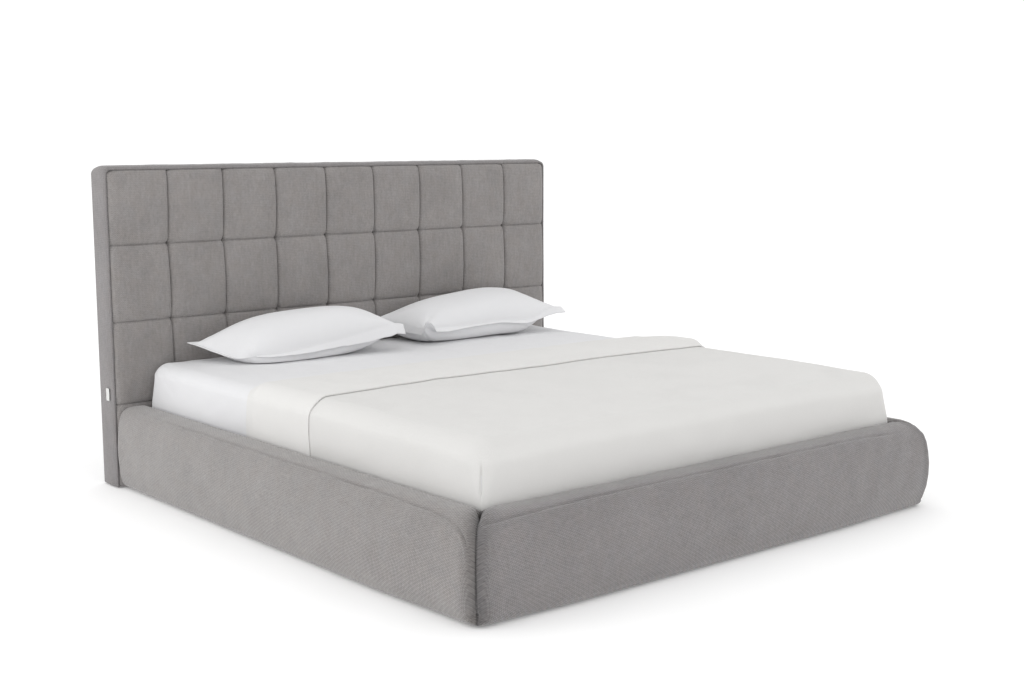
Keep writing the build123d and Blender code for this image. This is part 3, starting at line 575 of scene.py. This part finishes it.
SIDE_ROLL_REACH, FOOT_ROLL_REACH = 0.042, 0.026
SEAM_GROOVE, GROOVE_WIDTH = 0.0155, 0.0068      # the stitched groove beyond that
HEAD_TURN = 0.014                       # radius of the pad's end at the headboard
RAIL_HEAD_GAP = HEAD_FACE - rail_high[1]
PAD_OUT = 0.1                           # about how far a pad stands out from its board's inner face
PAD_POINTS = 130                        # points round a pad's section
PAD_BOTTOM = 0.0051


def run_along(line):
    """How far each point of a line is from its start, measured along the line."""
    return np.concatenate([[0], np.cumsum(np.hypot(*np.diff(line, axis=0).T))])


def resample(line, count):
    """The same line with evenly spaced points, and their spacing."""
    run = run_along(line)
    even = np.linspace(0, run[-1], count)
    return np.stack([np.interp(even, run, line[:, k]) for k in (0, 1)], axis=1), even[1]


def smooth_profile(points, blur=0.0035):
    """The same line, rounded off and evenly spaced."""
    points = np.array(points)
    line, spacing = resample(points, 800)
    width = int(blur / spacing)
    kernel = np.ones(2 * width + 1) / (2 * width + 1)
    for _ in range(3):
        padded = np.pad(line, ((width, width), (0, 0)), mode="edge")
        line = np.stack([np.convolve(padded[:, k], kernel, "valid") for k in (0, 1)], axis=1)
    line[0], line[-1] = points[0], points[-1]
    return resample(line, PAD_POINTS)[0]


def crease(run, flat, to_mitre, from_ends, mitred_start, seed):
    """How far the fold where top meets side pushes each point of a section out."""
    from_start, from_end = from_ends
    if mitred_start:
        drop, steep, present = 0.0, 0.0, ease(from_end, 0.06, 0.30)
    else:
        near = np.maximum(to_mitre + CREASE_SHIFT, 0.017)
        drop = np.maximum(CREASE_FALL / near - CREASE_LEVEL, 0)
        steep = np.where(drop > 0, CREASE_FALL / near ** 2, 0)
        present = ease(to_mitre, 0.003, 0.010) * (1 - 0.6 * ease(drop, 0.03, 0.08))
        present = present * ease(from_start, 0.10, 0.75)
    off = (run - (CREASE_RUN + drop)) / np.sqrt(1 + steep ** 2)
    uneven = (1 + 0.3 * ripple(flat, 0.14, seed + 2)) * present
    return (RIDGE_HEIGHT * bell(off - 0.010, RIDGE_WIDTH) * present
            - CREASE_DEPTH * bell(off, CREASE_WIDTH) * uneven)


def rail_pad(name, origin, along, outward, length, mitred_start, seed):
    """The padded cloth round a rail board, from its inner face over the top and down outside.

    origin is where the inner face starts, on the floor. The pad's end is mitred, and so is its
    start if mitred_start says so; otherwise it starts against the headboard. Each section runs
    from its own begin to its own end, further out where the pad is thicker."""
    corner, middle = smooth_profile(CORNER_PROFILE), smooth_profile(MIDDLE_PROFILE)
    steps = np.unique(np.concatenate([crowded(0, 0.06, 40, 0.9), np.linspace(0.06, 0.94, 200),
                                      crowded(0.94, 1, 70, 0.9)]))
    begin_gap = np.full(PAD_POINTS, RAIL_HEAD_GAP)
    roll_reach = FOOT_ROLL_REACH if mitred_start else SIDE_ROLL_REACH

    def in_room(place, reach, height):
        """Points in the room from places along the rail, out from it and up."""
        return (np.array(origin) + place[:, None] * np.array(along)
                + reach[:, None] * np.array(outward) + height[:, None] * np.array((0, 0, 1)))

    outer, inner = [], []
    for share in steps:
        near_end = (length + PAD_OUT) * (1 - share)
        if mitred_start:
            near_end = min(near_end, (length + PAD_OUT) * share + PAD_OUT)
        profile = corner + (middle - corner) * ease(near_end, 0.0, 0.50)
        reach, height = profile[:, 0], profile[:, 1]
        tangent = np.gradient(profile, axis=0)
        tangent /= np.linalg.norm(tangent, axis=1)[:, None]
        normal = np.stack([-tangent[:, 1], tangent[:, 0]], axis=1)
        free = ease(reach, 0.0, 0.02) * ease(height, 0.0055, 0.03)

        low_down = 0.20 * ease(-normal[:, 1], 0.15, 0.75) * ease(reach, 0.03, 0.09)
        inward = free * np.abs(normal[:, 0]) * (1 - low_down) + low_down
        end = reach - (SEAM_ROLL + SEAM_GROOVE) * inward
        begin = -end if mitred_start else begin_gap
        place = begin + (length + end - begin) * share
        from_start, from_end = place - begin, length + end - place
        to_mitre = np.minimum(from_end, from_start) if mitred_start else from_end
        flat = xyz(place, reach + seed, height)
        push = 0.0012 * ripple(flat, 0.33, seed) + 0.0006 * ripple(flat, 0.09, seed + 1)
        pleats = ripple(flat * (1.0, 1.0, 0.25), 0.022, seed + 5) * np.exp(-to_mitre / 0.022)
        push = push * ease(to_mitre, 0.0, 0.05) + 0.0010 * pleats
        push += crease(run_along(profile), flat, to_mitre, (from_start, from_end), mitred_start,
                       seed)
        roll = 1 - np.clip(to_mitre / roll_reach, 0, 1)
        rolled = SEAM_ROLL * (0.75 * roll ** 1.8 + 0.25 * (1 - np.sqrt(1 - roll ** 6)))
        rolled += SEAM_GROOVE * bell(to_mitre, GROOVE_WIDTH, 1.4)
        push -= rolled
        push -= 0.006 * np.exp(-to_mitre / 0.012) * ease(height, 0.26, 0.30)
        if not mitred_start:
            turn = np.clip(HEAD_TURN - from_start, 0, HEAD_TURN)
            push -= HEAD_TURN - np.sqrt(np.maximum(HEAD_TURN ** 2 - turn ** 2, 0))
        push = push * free
        outer.append(in_room(place, reach + normal[:, 0] * push * (1 - low_down)
                             - rolled * low_down,
                             np.maximum(height + normal[:, 1] * push, PAD_BOTTOM)))

        beyond = reach > BOARD
        deep = np.where(beyond, BOARD + 0.0003, np.clip(reach, -0.0002, BOARD))
        tall = np.where(beyond, np.clip(height, 0.0052, BOARD_TOP + 0.0003),
                        np.where(reach > 0.001, BOARD_TOP + 0.0003,
                                 np.minimum(height, BOARD_TOP + 0.0003)))
        begin = -deep if mitred_start else begin_gap
        inner.append(in_room(begin + (length + deep - begin) * share, deep, tall))
    return slab(name, np.array(outer), np.array(inner))


RAIL_LENGTH = HEAD_FACE - INNER_FOOT
for side, sign in (("left", -1), ("right", 1)):
    pad = rail_pad(f"side_rail_{side}_upholstery", (sign * INNER_X, HEAD_FACE, 0), (0, -1, 0),
                   (sign, 0, 0), RAIL_LENGTH, False, 20 + sign)
    finish_piece(pad, rail_cloth, "root", f"side_rail_pad_{side}")
pad = rail_pad("foot_rail_upholstery", (-INNER_X, INNER_FOOT, 0), (1, 0, 0), (0, -1, 0),
               2 * INNER_X, True, 31)
finish_piece(pad, foot_shaded_cloth, "root", "foot_rail_pad")


# ---------------- skins round the mattress
def surface_grid(low, high, faces, spacing):
    """Points and quads of the wanted faces of a sharp box, joined where they meet."""
    counts = np.maximum(2, np.ceil((high - low) / spacing).astype(int) + 1)
    edge = spacing * np.array([0.15, 0.3, 0.5, 0.75, 1.0, 1.35, 1.7, 2.2, 2.8, 3.5, 4.3])
    ticks = [np.unique(np.concatenate([np.linspace(low[k], high[k], counts[k])]
                                      + ([low[k] + edge] if k < 2 else []) + [high[k] - edge]))
             for k in range(3)]
    plan = {"top": (2, 1, 0, 1), "bottom": (2, 0, 1, 0), "left": (0, 0, 1, 2),
            "right": (0, 1, 2, 1), "foot": (1, 0, 0, 2), "head": (1, 1, 2, 0)}
    points, quads, start = [], [], 0
    for face in faces:
        axis, end, first, second = plan[face]
        a, b = ticks[first], ticks[second]
        grid = np.zeros((len(b), len(a), 3))
        grid[..., first] = a[None, :]
        grid[..., second] = b[:, None]
        grid[..., axis] = high[axis] if end else low[axis]
        points.append(grid.reshape(-1, 3))
        flip = face in ("left", "head")
        quads.append(grid_faces(len(b), len(a), start, flip=flip))
        start += grid.shape[0] * grid.shape[1]
    points = np.concatenate(points)
    quads = np.concatenate(quads)
    _, keep, back = np.unique(np.round(points * 1e6).astype(np.int64), axis=0,
                              return_index=True, return_inverse=True)
    return points[keep], back.reshape(-1)[quads]


def rounded(points, low, high, radius):
    """Points of a sharp box moved to one with round sides and top, and their outward directions."""
    radius = np.broadcast_to(radius, len(points))[:, None]
    inner_low = low + radius
    inner_low[:, 2] = low[2]
    core = np.minimum(np.maximum(points, inner_low), high - radius)
    normal = points - core
    size = np.linalg.norm(normal, axis=1)
    normal = normal / np.maximum(size, 1e-9)[:, None]
    return core + normal * radius, normal


def shell(name, outer, inner, faces):
    """A closed piece between two skins that share their faces."""
    count = len(outer)
    edges = np.concatenate([np.stack([faces[:, k], faces[:, (k + 1) % 4]], 1) for k in range(4)])
    there = {(a, b) for a, b in edges.tolist()}
    rim = [(b, a, a + count, b + count) for a, b in there if (b, a) not in there]
    quads = np.concatenate([faces, faces[:, ::-1] + count, np.array(rim).reshape(-1, 4)])
    return make_mesh(name, np.concatenate([outer, inner]), quads)


def edge_radius(points, base, foot_extra):
    """How round the edges are: softer at the top of the foot corners, sharper low down."""
    corner = ease(-points[:, 1], 0.55, 1.0) * ease(np.abs(points[:, 0]), 0.45, 0.85)
    top = ease(points[:, 2], 0.28, 0.455)
    return LOW_RADIUS + (base - LOW_RADIUS + foot_extra * corner) * top


SHEET_LOW, SHEET_HIGH = box("fitted_sheet")
EDGE_RADIUS, LOW_RADIUS = 0.052, 0.020
QUILTING = 0.12                         # the ticking's quilt pattern repeats after this far


def mattress_piece():
    """The mattress in its ticking, with a tape edge round its bottom."""
    low, high = mattress_low, mattress_high
    points, faces = surface_grid(low, high, ("top", "bottom", "left", "right", "foot", "head"),
                                 0.02)
    skin, normal = rounded(points, low, high, edge_radius(points, EDGE_RADIUS, 0.01))
    bottom = points[:, 2] < low[2] + 1e-6
    tape = bell(skin[:, 2] - low[2] - 0.012, 0.006) * (~bottom)
    quilt = 0.5 * np.prod(np.cos(skin[:, :2] * 2 * math.pi / QUILTING), axis=1)
    skin = skin - normal * (0.0012 - 0.001 * tape)[:, None]
    skin[bottom, 2] = low[2] + 0.0015 + 0.0012 * quilt[bottom]
    return make_mesh("mattress_ticking", skin, faces)


finish_piece(mattress_piece(), ticking, "platform", "mattress")


def fan_folds(points, corner, count, reach, seed):
    """Fine folds that spread from a corner along the mattress's side."""
    rng = np.random.default_rng(seed)
    away = points - np.array(corner)
    far = np.linalg.norm(away, axis=1)
    angle = np.arctan2(away[:, 2], np.hypot(away[:, 0], away[:, 1]))
    wave = np.zeros(len(points))
    for _ in range(count):
        middle = rng.uniform(-1.3, 0.2)
        width = rng.uniform(0.035, 0.08)
        wave += rng.uniform(0.5, 1.0) * bell(angle - middle, width)
    return wave * bell(far, reach) * ease(far, 0.0, 0.04)


def fitted_piece():
    """The fitted sheet, drawn tight over the mattress."""
    points, faces = surface_grid(SHEET_LOW, SHEET_HIGH, ("top", "left", "right", "foot", "head"),
                                 0.012)
    radius = edge_radius(points, EDGE_RADIUS + 0.002, 0.01)
    skin, normal = rounded(points, SHEET_LOW, SHEET_HIGH, radius)
    upright = ease(skin[:, 2], 0.30, 0.36)
    relief = 0.0009 * ripple(skin * (1.0, 0.45, 1.0), 0.16, 40)
    relief += 0.00035 * ripple(skin * (1.0, 0.5, 1.0), 0.045, 41)
    for sign_x in (-1, 1):
        relief += 0.0022 * fan_folds(skin, (sign_x * 0.87, 0.95, 0.452), 7, 0.32, 43 + sign_x)
    drape = ripple(skin * (1.0, 1.0, 0.12), 0.11, 45) * (np.abs(normal[:, 0]) + 0.3)
    relief += 0.0012 * drape * ease(-skin[:, 2], -0.44, -0.36)
    relief = relief * upright
    lean = 0.0085 * (1 - ease(skin[:, 2], 0.29, 0.43)) * ease(skin[:, 1], 0.25, 0.6)
    outer = skin + normal * relief[:, None]
    outer[:, 0] += np.sign(skin[:, 0]) * lean * np.abs(normal[:, 0])
    inner = outer - normal * 0.0009
    return shell("fitted_sheet_cloth", outer, inner, faces)


fitted = finish_piece(fitted_piece(), sheet_cotton, "platform", "fitted_sheet")

COVER_TOP = cover_high[2] + 0.0022
COVER_HEAD = cover_high[1]
COVER_HALF, UNDER_HALF = 0.9045, 0.8995         # half widths over the coverlet and under it
PAST_HEAD = 2.0                         # where the coverlet's box ends, so its head isn't rounded


def cover_relief(points):
    """The coverlet's soft unevenness, which the sheet folded over it follows."""
    side = 1 - ease(points[:, 2], 0.36, 0.46)
    return (0.0011 * ripple(points * (1.0, 0.7, 1.0), 0.42, 50) + 0.0003 * ripple(points, 0.13, 51)
            + 0.0016 * ripple(points * (1.0, 1.0, 0.15), 0.17, 52) * side)


def coverlet_piece():
    """The light quilted coverlet over the lower two thirds of the mattress."""
    low = np.array([-COVER_HALF, cover_low[1], cover_low[2]])
    high = np.array([COVER_HALF, COVER_HEAD, COVER_TOP])
    base_low = np.array([-UNDER_HALF, cover_low[1] + 0.0055, cover_low[2]])
    base_high = np.array([UNDER_HALF, COVER_HEAD, SHEET_HIGH[2] + 0.0012])
    points, faces = surface_grid(low, high, ("top", "left", "right", "foot"), 0.011)
    base = base_low + (points - low) / (high - low) * (base_high - base_low)
    high[1] = base_high[1] = PAST_HEAD
    skin, normal = rounded(points, low, high, edge_radius(points, EDGE_RADIUS + 0.012, 0.012))
    under, _ = rounded(base, base_low, base_high, edge_radius(base, EDGE_RADIUS + 0.004, 0.01))
    thick = 0.12 + 0.88 * ease(COVER_HEAD - skin[:, 1], -0.015, 0.055)
    skin = under + (skin - under) * thick[:, None]
    level = ease(skin[:, 2], 0.30, 0.35)
    relief = cover_relief(skin)
    for sign_x in (-1, 1):
        past_side = skin[:, 0] - sign_x * COVER_HALF
        beside = np.hypot(past_side, skin[:, 1] - cover_low[1])
        around = sign_x * past_side - (cover_low[1] - skin[:, 1])
        low_down = ease(-skin[:, 2], -0.440, -0.375)
        relief -= 0.0060 * bell(around - 0.010, 0.0035) * low_down * (beside < 0.06)
        relief += 0.0016 * bell(around - 0.022, 0.009) * low_down * (beside < 0.08)
    relief = relief * level * thick
    return shell("coverlet_quilt", skin + normal * relief[:, None], under, faces)


coverlet = finish_piece(coverlet_piece(), cover_cotton, "platform", "coverlet")

# ---------------- folded band of the top sheet
BAND_HEM = fold_low[2] - 0.016
BAND_TOP = COVER_TOP + 0.0052
BAND_HALF = 0.9078
BAND_HEAD = HEAD_FACE - fold_high[1]
BAND_EDGE = [(0.0, 1.147), (0.09, 1.138), (0.125, 1.142), (0.150, 1.147), (0.172, 1.151),
             (0.190, 1.154), (0.207, 1.156), (0.225, 1.156), (0.25, 1.153), (0.3125, 1.141),
             (0.4825, 1.122), (0.7225, 1.095), (0.8425, 1.112), (0.9775, 1.126),
             (1.2125, 1.122), (1.4425, 1.113), (1.7025, 1.131), (1.9575, 1.153),
             (2.08, 1.160), (2.19, 1.164)]      # its foot edge: (run from left to right, distance)
BAND_POINTS = 330                       # points across the band
SMOOTHED = 7                            # points on each side that the foot edge is smoothed over
FAR_OFF = 5                             # where its box ends, so that only its sides are rounded


def band_piece():
    """The top sheet folded back over the coverlet's head end."""
    rise = BAND_TOP - BAND_HEM
    total = 2 * rise + 2 * BAND_HALF
    run = np.linspace(0, total, BAND_POINTS)
    edge_runs, edge_places = np.array(BAND_EDGE).T
    stretch = total / (2 * (BAND_TOP - fold_low[2]) + 2 * BAND_HALF)
    edge = np.interp(run, edge_runs * stretch, edge_places)
    kernel = np.hanning(2 * SMOOTHED + 1)
    kernel /= kernel.sum()
    edge = np.convolve(np.pad(edge, SMOOTHED, mode="edge"), kernel, "valid")
    line = xyz(run, 0, 0)
    edge = edge + 0.0012 * ripple(line, 0.10, 60) + 0.0006 * ripple(line, 0.03, 61)
    head = BAND_HEAD + 0.0035 * ripple(line, 0.5, 62) + 0.002
    share = np.concatenate([[0.0, 0.004, 0.010, 0.018], np.linspace(0.028, 0.972, 46),
                            [0.985, 0.993, 0.998, 1.0]])
    distance = head[:, None] + (edge - head)[:, None] * share[None, :]
    x = np.clip(run - rise, 0, 2 * BAND_HALF) - BAND_HALF
    z = BAND_HEM + np.minimum(np.minimum(run, total - run), rise)
    sharp = xyz(x[:, None], HEAD_FACE - distance, z[:, None]).reshape(-1, 3)

    def at(half, top, radius):
        """The band laid over a round-edged box of this half width and top."""
        moved = sharp * (half / BAND_HALF, 1, 1)
        moved[:, 2] = BAND_HEM + (moved[:, 2] - BAND_HEM) * (top - BAND_HEM) / rise
        return rounded(moved, np.array([-half, -FAR_OFF, BAND_HEM]),
                       np.array([half, FAR_OFF, top]), radius)

    thin, normal = at(UNDER_HALF + 0.0013, SHEET_HIGH[2] + 0.0030, EDGE_RADIUS + 0.004)
    full, _ = at(BAND_HALF, BAND_TOP, EDGE_RADIUS + 0.014)
    d = distance.reshape(-1)
    climb = ease(d, 0.725, 0.800)[:, None]        # up onto the coverlet's head end
    outer = thin + (full - thin) * climb
    from_edge = ((1 - share)[None, :] * (edge - head)[:, None]).reshape(-1)
    from_head = (share[None, :] * (edge - head)[:, None]).reshape(-1)
    level = ease(outer[:, 2], 0.31, 0.36)
    relief = cover_relief(outer) + 0.0006 * (1 - np.exp(-from_edge / 0.08)) * ripple(
        outer * (0.35, 1.0, 1.0), 0.10, 64)
    relief += 0.0010 * ripple(outer * (1.0, 0.5, 0.3), 0.12, 65) * np.exp(-from_head / 0.20)
    relief = relief * level
    nose = 0.0018 * (1 - np.exp(-from_head / 0.003))
    inner = outer + normal * (relief - 0.0043)[:, None]
    outer = outer + normal * (relief - 0.0024 + 0.0012 * climb[:, 0] + nose)[:, None]
    puff = 0.022 * ease(outer[:, 0], 0.52, 0.84) * ease(d, 0.78, 1.04)
    puff *= ease(from_edge, 0.0, 0.045) * ease(outer[:, 2], BAND_TOP - 0.10, BAND_TOP)
    outer[:, 2] += puff
    inner[:, 2] += puff
    rows, columns = distance.shape
    return slab("top_sheet_fold", outer.reshape(rows, columns, 3),
                inner.reshape(rows, columns, 3))


band = finish_piece(band_piece(), fold_cotton, "platform", "top_sheet")


# ---------------- pillows
FLANGE = 0.042                          # a border this wide droops in full
HALF_CLOTH = 0.0011                     # half the thickness of the border
UNDERSIDE = 0.098                       # how far a pillow's middle hangs below its seam
REST_Z = SHEET_HIGH[2] + 0.0012         # no pillow goes lower than this, and it nears it softly
REST_SOFT = 0.008
WALL_SQUEEZE = 0.02                     # a pillow's back is squeezed this near the headboard


def between(values, sa, sb):
    """A value at each place of a piece, from its back left, back right, front left, front right."""
    back_left, back_right, front_left, front_right = (np.asarray(v, float) for v in values)
    sa, sb = (sa[..., None], sb[..., None]) if back_left.ndim else (sa, sb)
    return ((1 - sa) * (sb * back_left + (1 - sb) * front_left)
            + sa * (sb * back_right + (1 - sb) * front_right))


def pillow_piece(name, corners, flanges, hang, side_hang, crown, lean, belly, seed,
                 thinner=(0.0, 0.0), sag=(0.0, 0.0), flat_middle=0.0, round_front=0.0):
    """A soft pillow in a case with a flat border, the flange, round its seam.

    corners are the seam's corners as (x, distance from the headboard, height), and flanges the
    border's widths there: back left, back right, front left, front right. hang is how far the
    front border turns down at the left and at the right, in radians, and the places between
    which it changes; side_hang is the same for the left and right ends' borders. crown is the
    height over the seam and lean how it grows to the right and to the back; belly is how square
    the underside is from front to back, and thinner how much thinner the left and right ends
    are. sag is how far the front edge hangs in its middle and near its right end; flat_middle
    narrows the front border's middle, and round_front rounds the front left corner."""
    rng = np.random.default_rng(seed)
    half_a, half_b = 0.36, 0.17         # half sizes that the folds are measured by
    edge = np.linspace(0, 1, 10)[1:]
    span_a, span_b = (
        np.concatenate([-1 - edge[::-1], np.sin(np.linspace(-1, 1, count) * 1.4) / math.sin(1.4),
                        1 + edge]) for count in (170, 110))
    b, a = np.meshgrid(span_b, span_a, indexing="ij")
    ca, cb = np.clip(a, -1, 1), np.clip(b, -1, 1)
    over_a, over_b = a - ca, b - cb
    out = np.maximum(np.abs(over_a), np.abs(over_b))
    places = [np.array((x, bed_y(u), z)) for x, u, z in corners]
    soft_corner = round_front * (1 - ca) / 2 * (1 - cb) / 2
    pa = ca * (1 - 0.060 * (1 - cb ** 2) * ca ** 2) * np.sqrt(1 - soft_corner * cb ** 4 / 2)
    pb = cb * (1 - 0.080 * (1 - ca ** 2) * cb ** 2) * np.sqrt(1 - soft_corner * ca ** 4 / 2)
    spot = between(places, (pa + 1) / 2, (pb + 1) / 2)
    width = between(flanges, (ca + 1) / 2, (cb + 1) / 2)
    narrow = (1 - ca ** 2) * np.where(over_b > 0, 0.45, flat_middle * (over_b < 0))
    narrow += (1 - cb ** 2) * (np.abs(over_a) > 0) * 0.2
    width = width * (1 - np.clip(narrow, 0, 1))
    one, none = np.ones_like(pa), np.zeros_like(pa)
    side_a = between(places, one, (pb + 1) / 2) - between(places, none, (pb + 1) / 2)
    side_b = between(places, (pa + 1) / 2, one) - between(places, (pa + 1) / 2, none)
    side_a /= np.linalg.norm(side_a, axis=-1, keepdims=True)
    side_b /= np.linalg.norm(side_b, axis=-1, keepdims=True)
    hang_left, hang_right, *changes = hang
    hang_b = hang_left + (hang_right - hang_left) * ease(ca, *changes)
    hang_b = hang_b * (over_b < 0)
    hang_a = np.where(over_a > 0, side_hang[1], side_hang[0]) * (over_a != 0)
    spot = spot + side_a * (over_a * width * np.cos(hang_a))[..., None]
    spot = spot + side_b * (over_b * width * np.cos(hang_b))[..., None]
    x, y, seam = spot[..., 0], spot[..., 1], spot[..., 2]
    seam = seam - width * (np.abs(over_b) * np.sin(hang_b) + np.abs(over_a) * np.sin(hang_a))
    front_sag = sag[0] * (1 - ca ** 2) + sag[1] * bell(ca - 0.62, 0.3)
    seam = seam - front_sag * ((1 - cb) / 2) ** 1.5
    middle_edge = (1 - ca ** 2) * np.abs(cb) ** 3 + (1 - cb ** 2) * np.abs(ca) ** 3
    seam = seam - 0.012 * np.clip(middle_edge, 0, 1)
    flat = xyz(x, y, 0)
    full_a = np.clip(1 - np.abs(ca) ** 3.0, 0, 1)
    full_b = np.clip(1 - np.abs(cb) ** 2.5, 0, 1)
    shift = 1 + lean[0] * ca + lean[1] * cb
    top = crown * full_a ** (0.56 - 0.06 * ca) * full_b ** (0.54 + 0.06 * cb) * shift
    thin = thinner[0] * ease(-ca, 0.2, 1.0) + thinner[1] * ease(ca, 0.2, 1.0)
    bottom = UNDERSIDE * full_a ** (0.36 + thin) * full_b ** belly
    folds = np.zeros_like(x)
    for ka in (-1, 1):
        for kb in (-1, 1):
            dx, dy = (ca - ka) * half_a, (cb - kb) * half_b
            far = np.hypot(dx, dy)
            angle = np.arctan2(-kb * dy, -ka * dx)
            phase = rng.uniform(0, 6.28)
            fan = np.cos(9 * angle + phase) + 0.5 * np.cos(15 * angle + 2 * phase)
            folds += fan * bell(far, 0.12, 1.5) * ease(far, 0.0, 0.05)
    inside = np.minimum((1 - np.abs(ca)) * half_a, (1 - np.abs(cb)) * half_b)
    gather = ripple(flat, 0.045, seed + 2) * np.exp(-inside / 0.022) * ease(inside, 0, 0.006)
    soft = ripple(flat, 0.26, seed + 3)
    long_folds = ripple(flat * (0.35, 1.2, 1.0), 0.13, seed + 4)
    top = top + (0.0020 * folds + 0.0012 * gather
                 + (0.0035 * soft + 0.0014 * long_folds) * ease(inside, 0.0, 0.12))
    bottom = bottom + 0.0016 * folds + 0.0010 * gather
    wave = ripple(flat, 0.15, seed + 5) * 0.0040 + ripple(flat, 0.045, seed + 6) * 0.0014
    droop = (wave * out - 0.003 * out ** 1.5) * width / FLANGE
    inner = (out <= 0)
    upper = seam + droop + np.maximum(top, 0.0) * inner + HALF_CLOTH
    under = seam + droop - bottom * inner - HALF_CLOTH
    clear = under - REST_Z
    under = REST_Z + 0.5 * (clear + np.sqrt(clear ** 2 + REST_SOFT ** 2))
    upper = np.maximum(upper, under + 2 * HALF_CLOTH)
    turned = (over_b < 0) * np.abs(np.sin(hang_b)) * np.minimum(np.abs(over_b) * 4, 1)
    y_under = y + 0.0018 * turned * np.sign(np.sin(hang_b))
    near_wall = HEAD_FACE - 0.0215 - WALL_SQUEEZE
    squeezed = near_wall + WALL_SQUEEZE * (1 - np.exp(-(y - near_wall) / WALL_SQUEEZE))
    y = np.where(y > near_wall, squeezed, y)
    y_under = np.where(y_under > near_wall, y, y_under)
    return slab(name, xyz(x, y, upper), xyz(x, y_under, under))


left_pillow = pillow_piece(
    "pillow_left_cushion",
    corners=((-0.757, 0.100, 0.526), (-0.045, 0.070, 0.566),
             (-0.680, 0.350, 0.477), (-0.052, 0.380, 0.568)),
    flanges=(0.017, 0.038, 0.006, 0.042), hang=(0.5, 1.15, -0.6, 0.4), side_hang=(0.0, 0.25),
    crown=0.095, lean=(0.0, 0.06), belly=0.32, thinner=(0.8, 0.0), round_front=0.75, seed=71)
finish_piece(left_pillow, pillow_cotton, "platform", "pillow_left")
right_pillow = pillow_piece(
    "pillow_right_cushion",
    corners=((0.075, 0.070, 0.548), (0.800, 0.055, 0.590),
             (0.118, 0.335, 0.530), (0.800, 0.345, 0.570)),
    flanges=(0.026, 0.044, 0.032, 0.036), hang=(-1.00, 0.45, -0.95, -0.86),
    side_hang=(1.25, 0.05), crown=0.079, lean=(0.08, 0.10), belly=0.47, thinner=(0.0, 0.9),
    sag=(0.015, 0.026), flat_middle=0.70, seed=81)
finish_piece(right_pillow, pillow_cotton, "platform", "pillow_right")


# ---------------- label
def label_piece():
    """A small folded woven label sewn into the headboard's left side."""
    low, high = box("headboard_tag")
    v, u = np.meshgrid(np.linspace(0, 1, 24), np.linspace(0, 1, 10), indexing="ij")
    y = low[1] + (high[1] - low[1]) * u
    z = low[2] + (high[2] - low[2]) * v
    lift = 0.0006 + 0.0016 * u ** 2 * (0.6 + 0.4 * np.sin(v * 3.0)) + 0.0003 * np.sin(9 * v)
    x = low[0] - 0.0048 - lift
    return slab("headboard_label", xyz(x, y, z), xyz(x + 0.0009, y, z))


label = finish_piece(label_piece(), label_cloth, "root", "headboard_tag")

# ---------------- floor, light and camera
bpy.ops.mesh.primitive_plane_add(size=60, location=(0, 0, 0))
floor = bpy.context.object
floor.name = "studio_floor"
paint = Material("studio_floor")
speck = paint.noise(3.0)
greys = paint.ramp(speck, [(0.3, (0.93, 0.93, 0.93)), (0.7, (0.95, 0.95, 0.95))])
for socket, value in (("Base Color", greys), ("Roughness", 0.9),
                      ("Emission Color", (1, 1, 1, 1)), ("Emission Strength", 0.12)):
    paint.put(paint.shader[socket], value)
floor.data.materials.append(paint.made)

world = bpy.data.worlds.new("studio")
bpy.context.scene.world = world
world.use_nodes = True
background = world.node_tree.nodes["Background"].inputs
background["Color"].default_value = (1, 1, 1, 1)
background["Strength"].default_value = 1.06


def soft_light(name, place, target, size, power):
    """A white rectangular light at a place, turned to a target."""
    data = bpy.data.lights.new(name, "AREA")
    data.shape = "RECTANGLE"
    data.size, data.size_y = size
    data.energy = power
    light = bpy.data.objects.new(name, data)
    light.location = place
    light.rotation_euler = (Vector(target) - Vector(place)).to_track_quat("-Z", "Y").to_euler()
    bpy.context.scene.collection.objects.link(light)


soft_light("key_light", (-4.6, 1.2, 1.6), (-0.6, 0.4, 0.4), (2.6, 2.0), 31)
soft_light("fill_light", (0.5, -6.0, 2.2), (0, 0, 0.5), (4.0, 2.5), 14)

camera_data = bpy.data.cameras.new("camera")
camera_data.lens = 51.27
camera_data.sensor_width = 36
camera_data.shift_x, camera_data.shift_y = -0.0481, -0.0031
camera = bpy.data.objects.new("camera", camera_data)
camera.location = (-3.2628, -4.0322, 1.2965)
camera.rotation_euler = (math.radians(90 - 7.976), 0, math.radians(-41.182))
bpy.context.scene.collection.objects.link(camera)
bpy.context.scene.camera = camera
bpy.context.scene.view_settings.view_transform = "Standard"
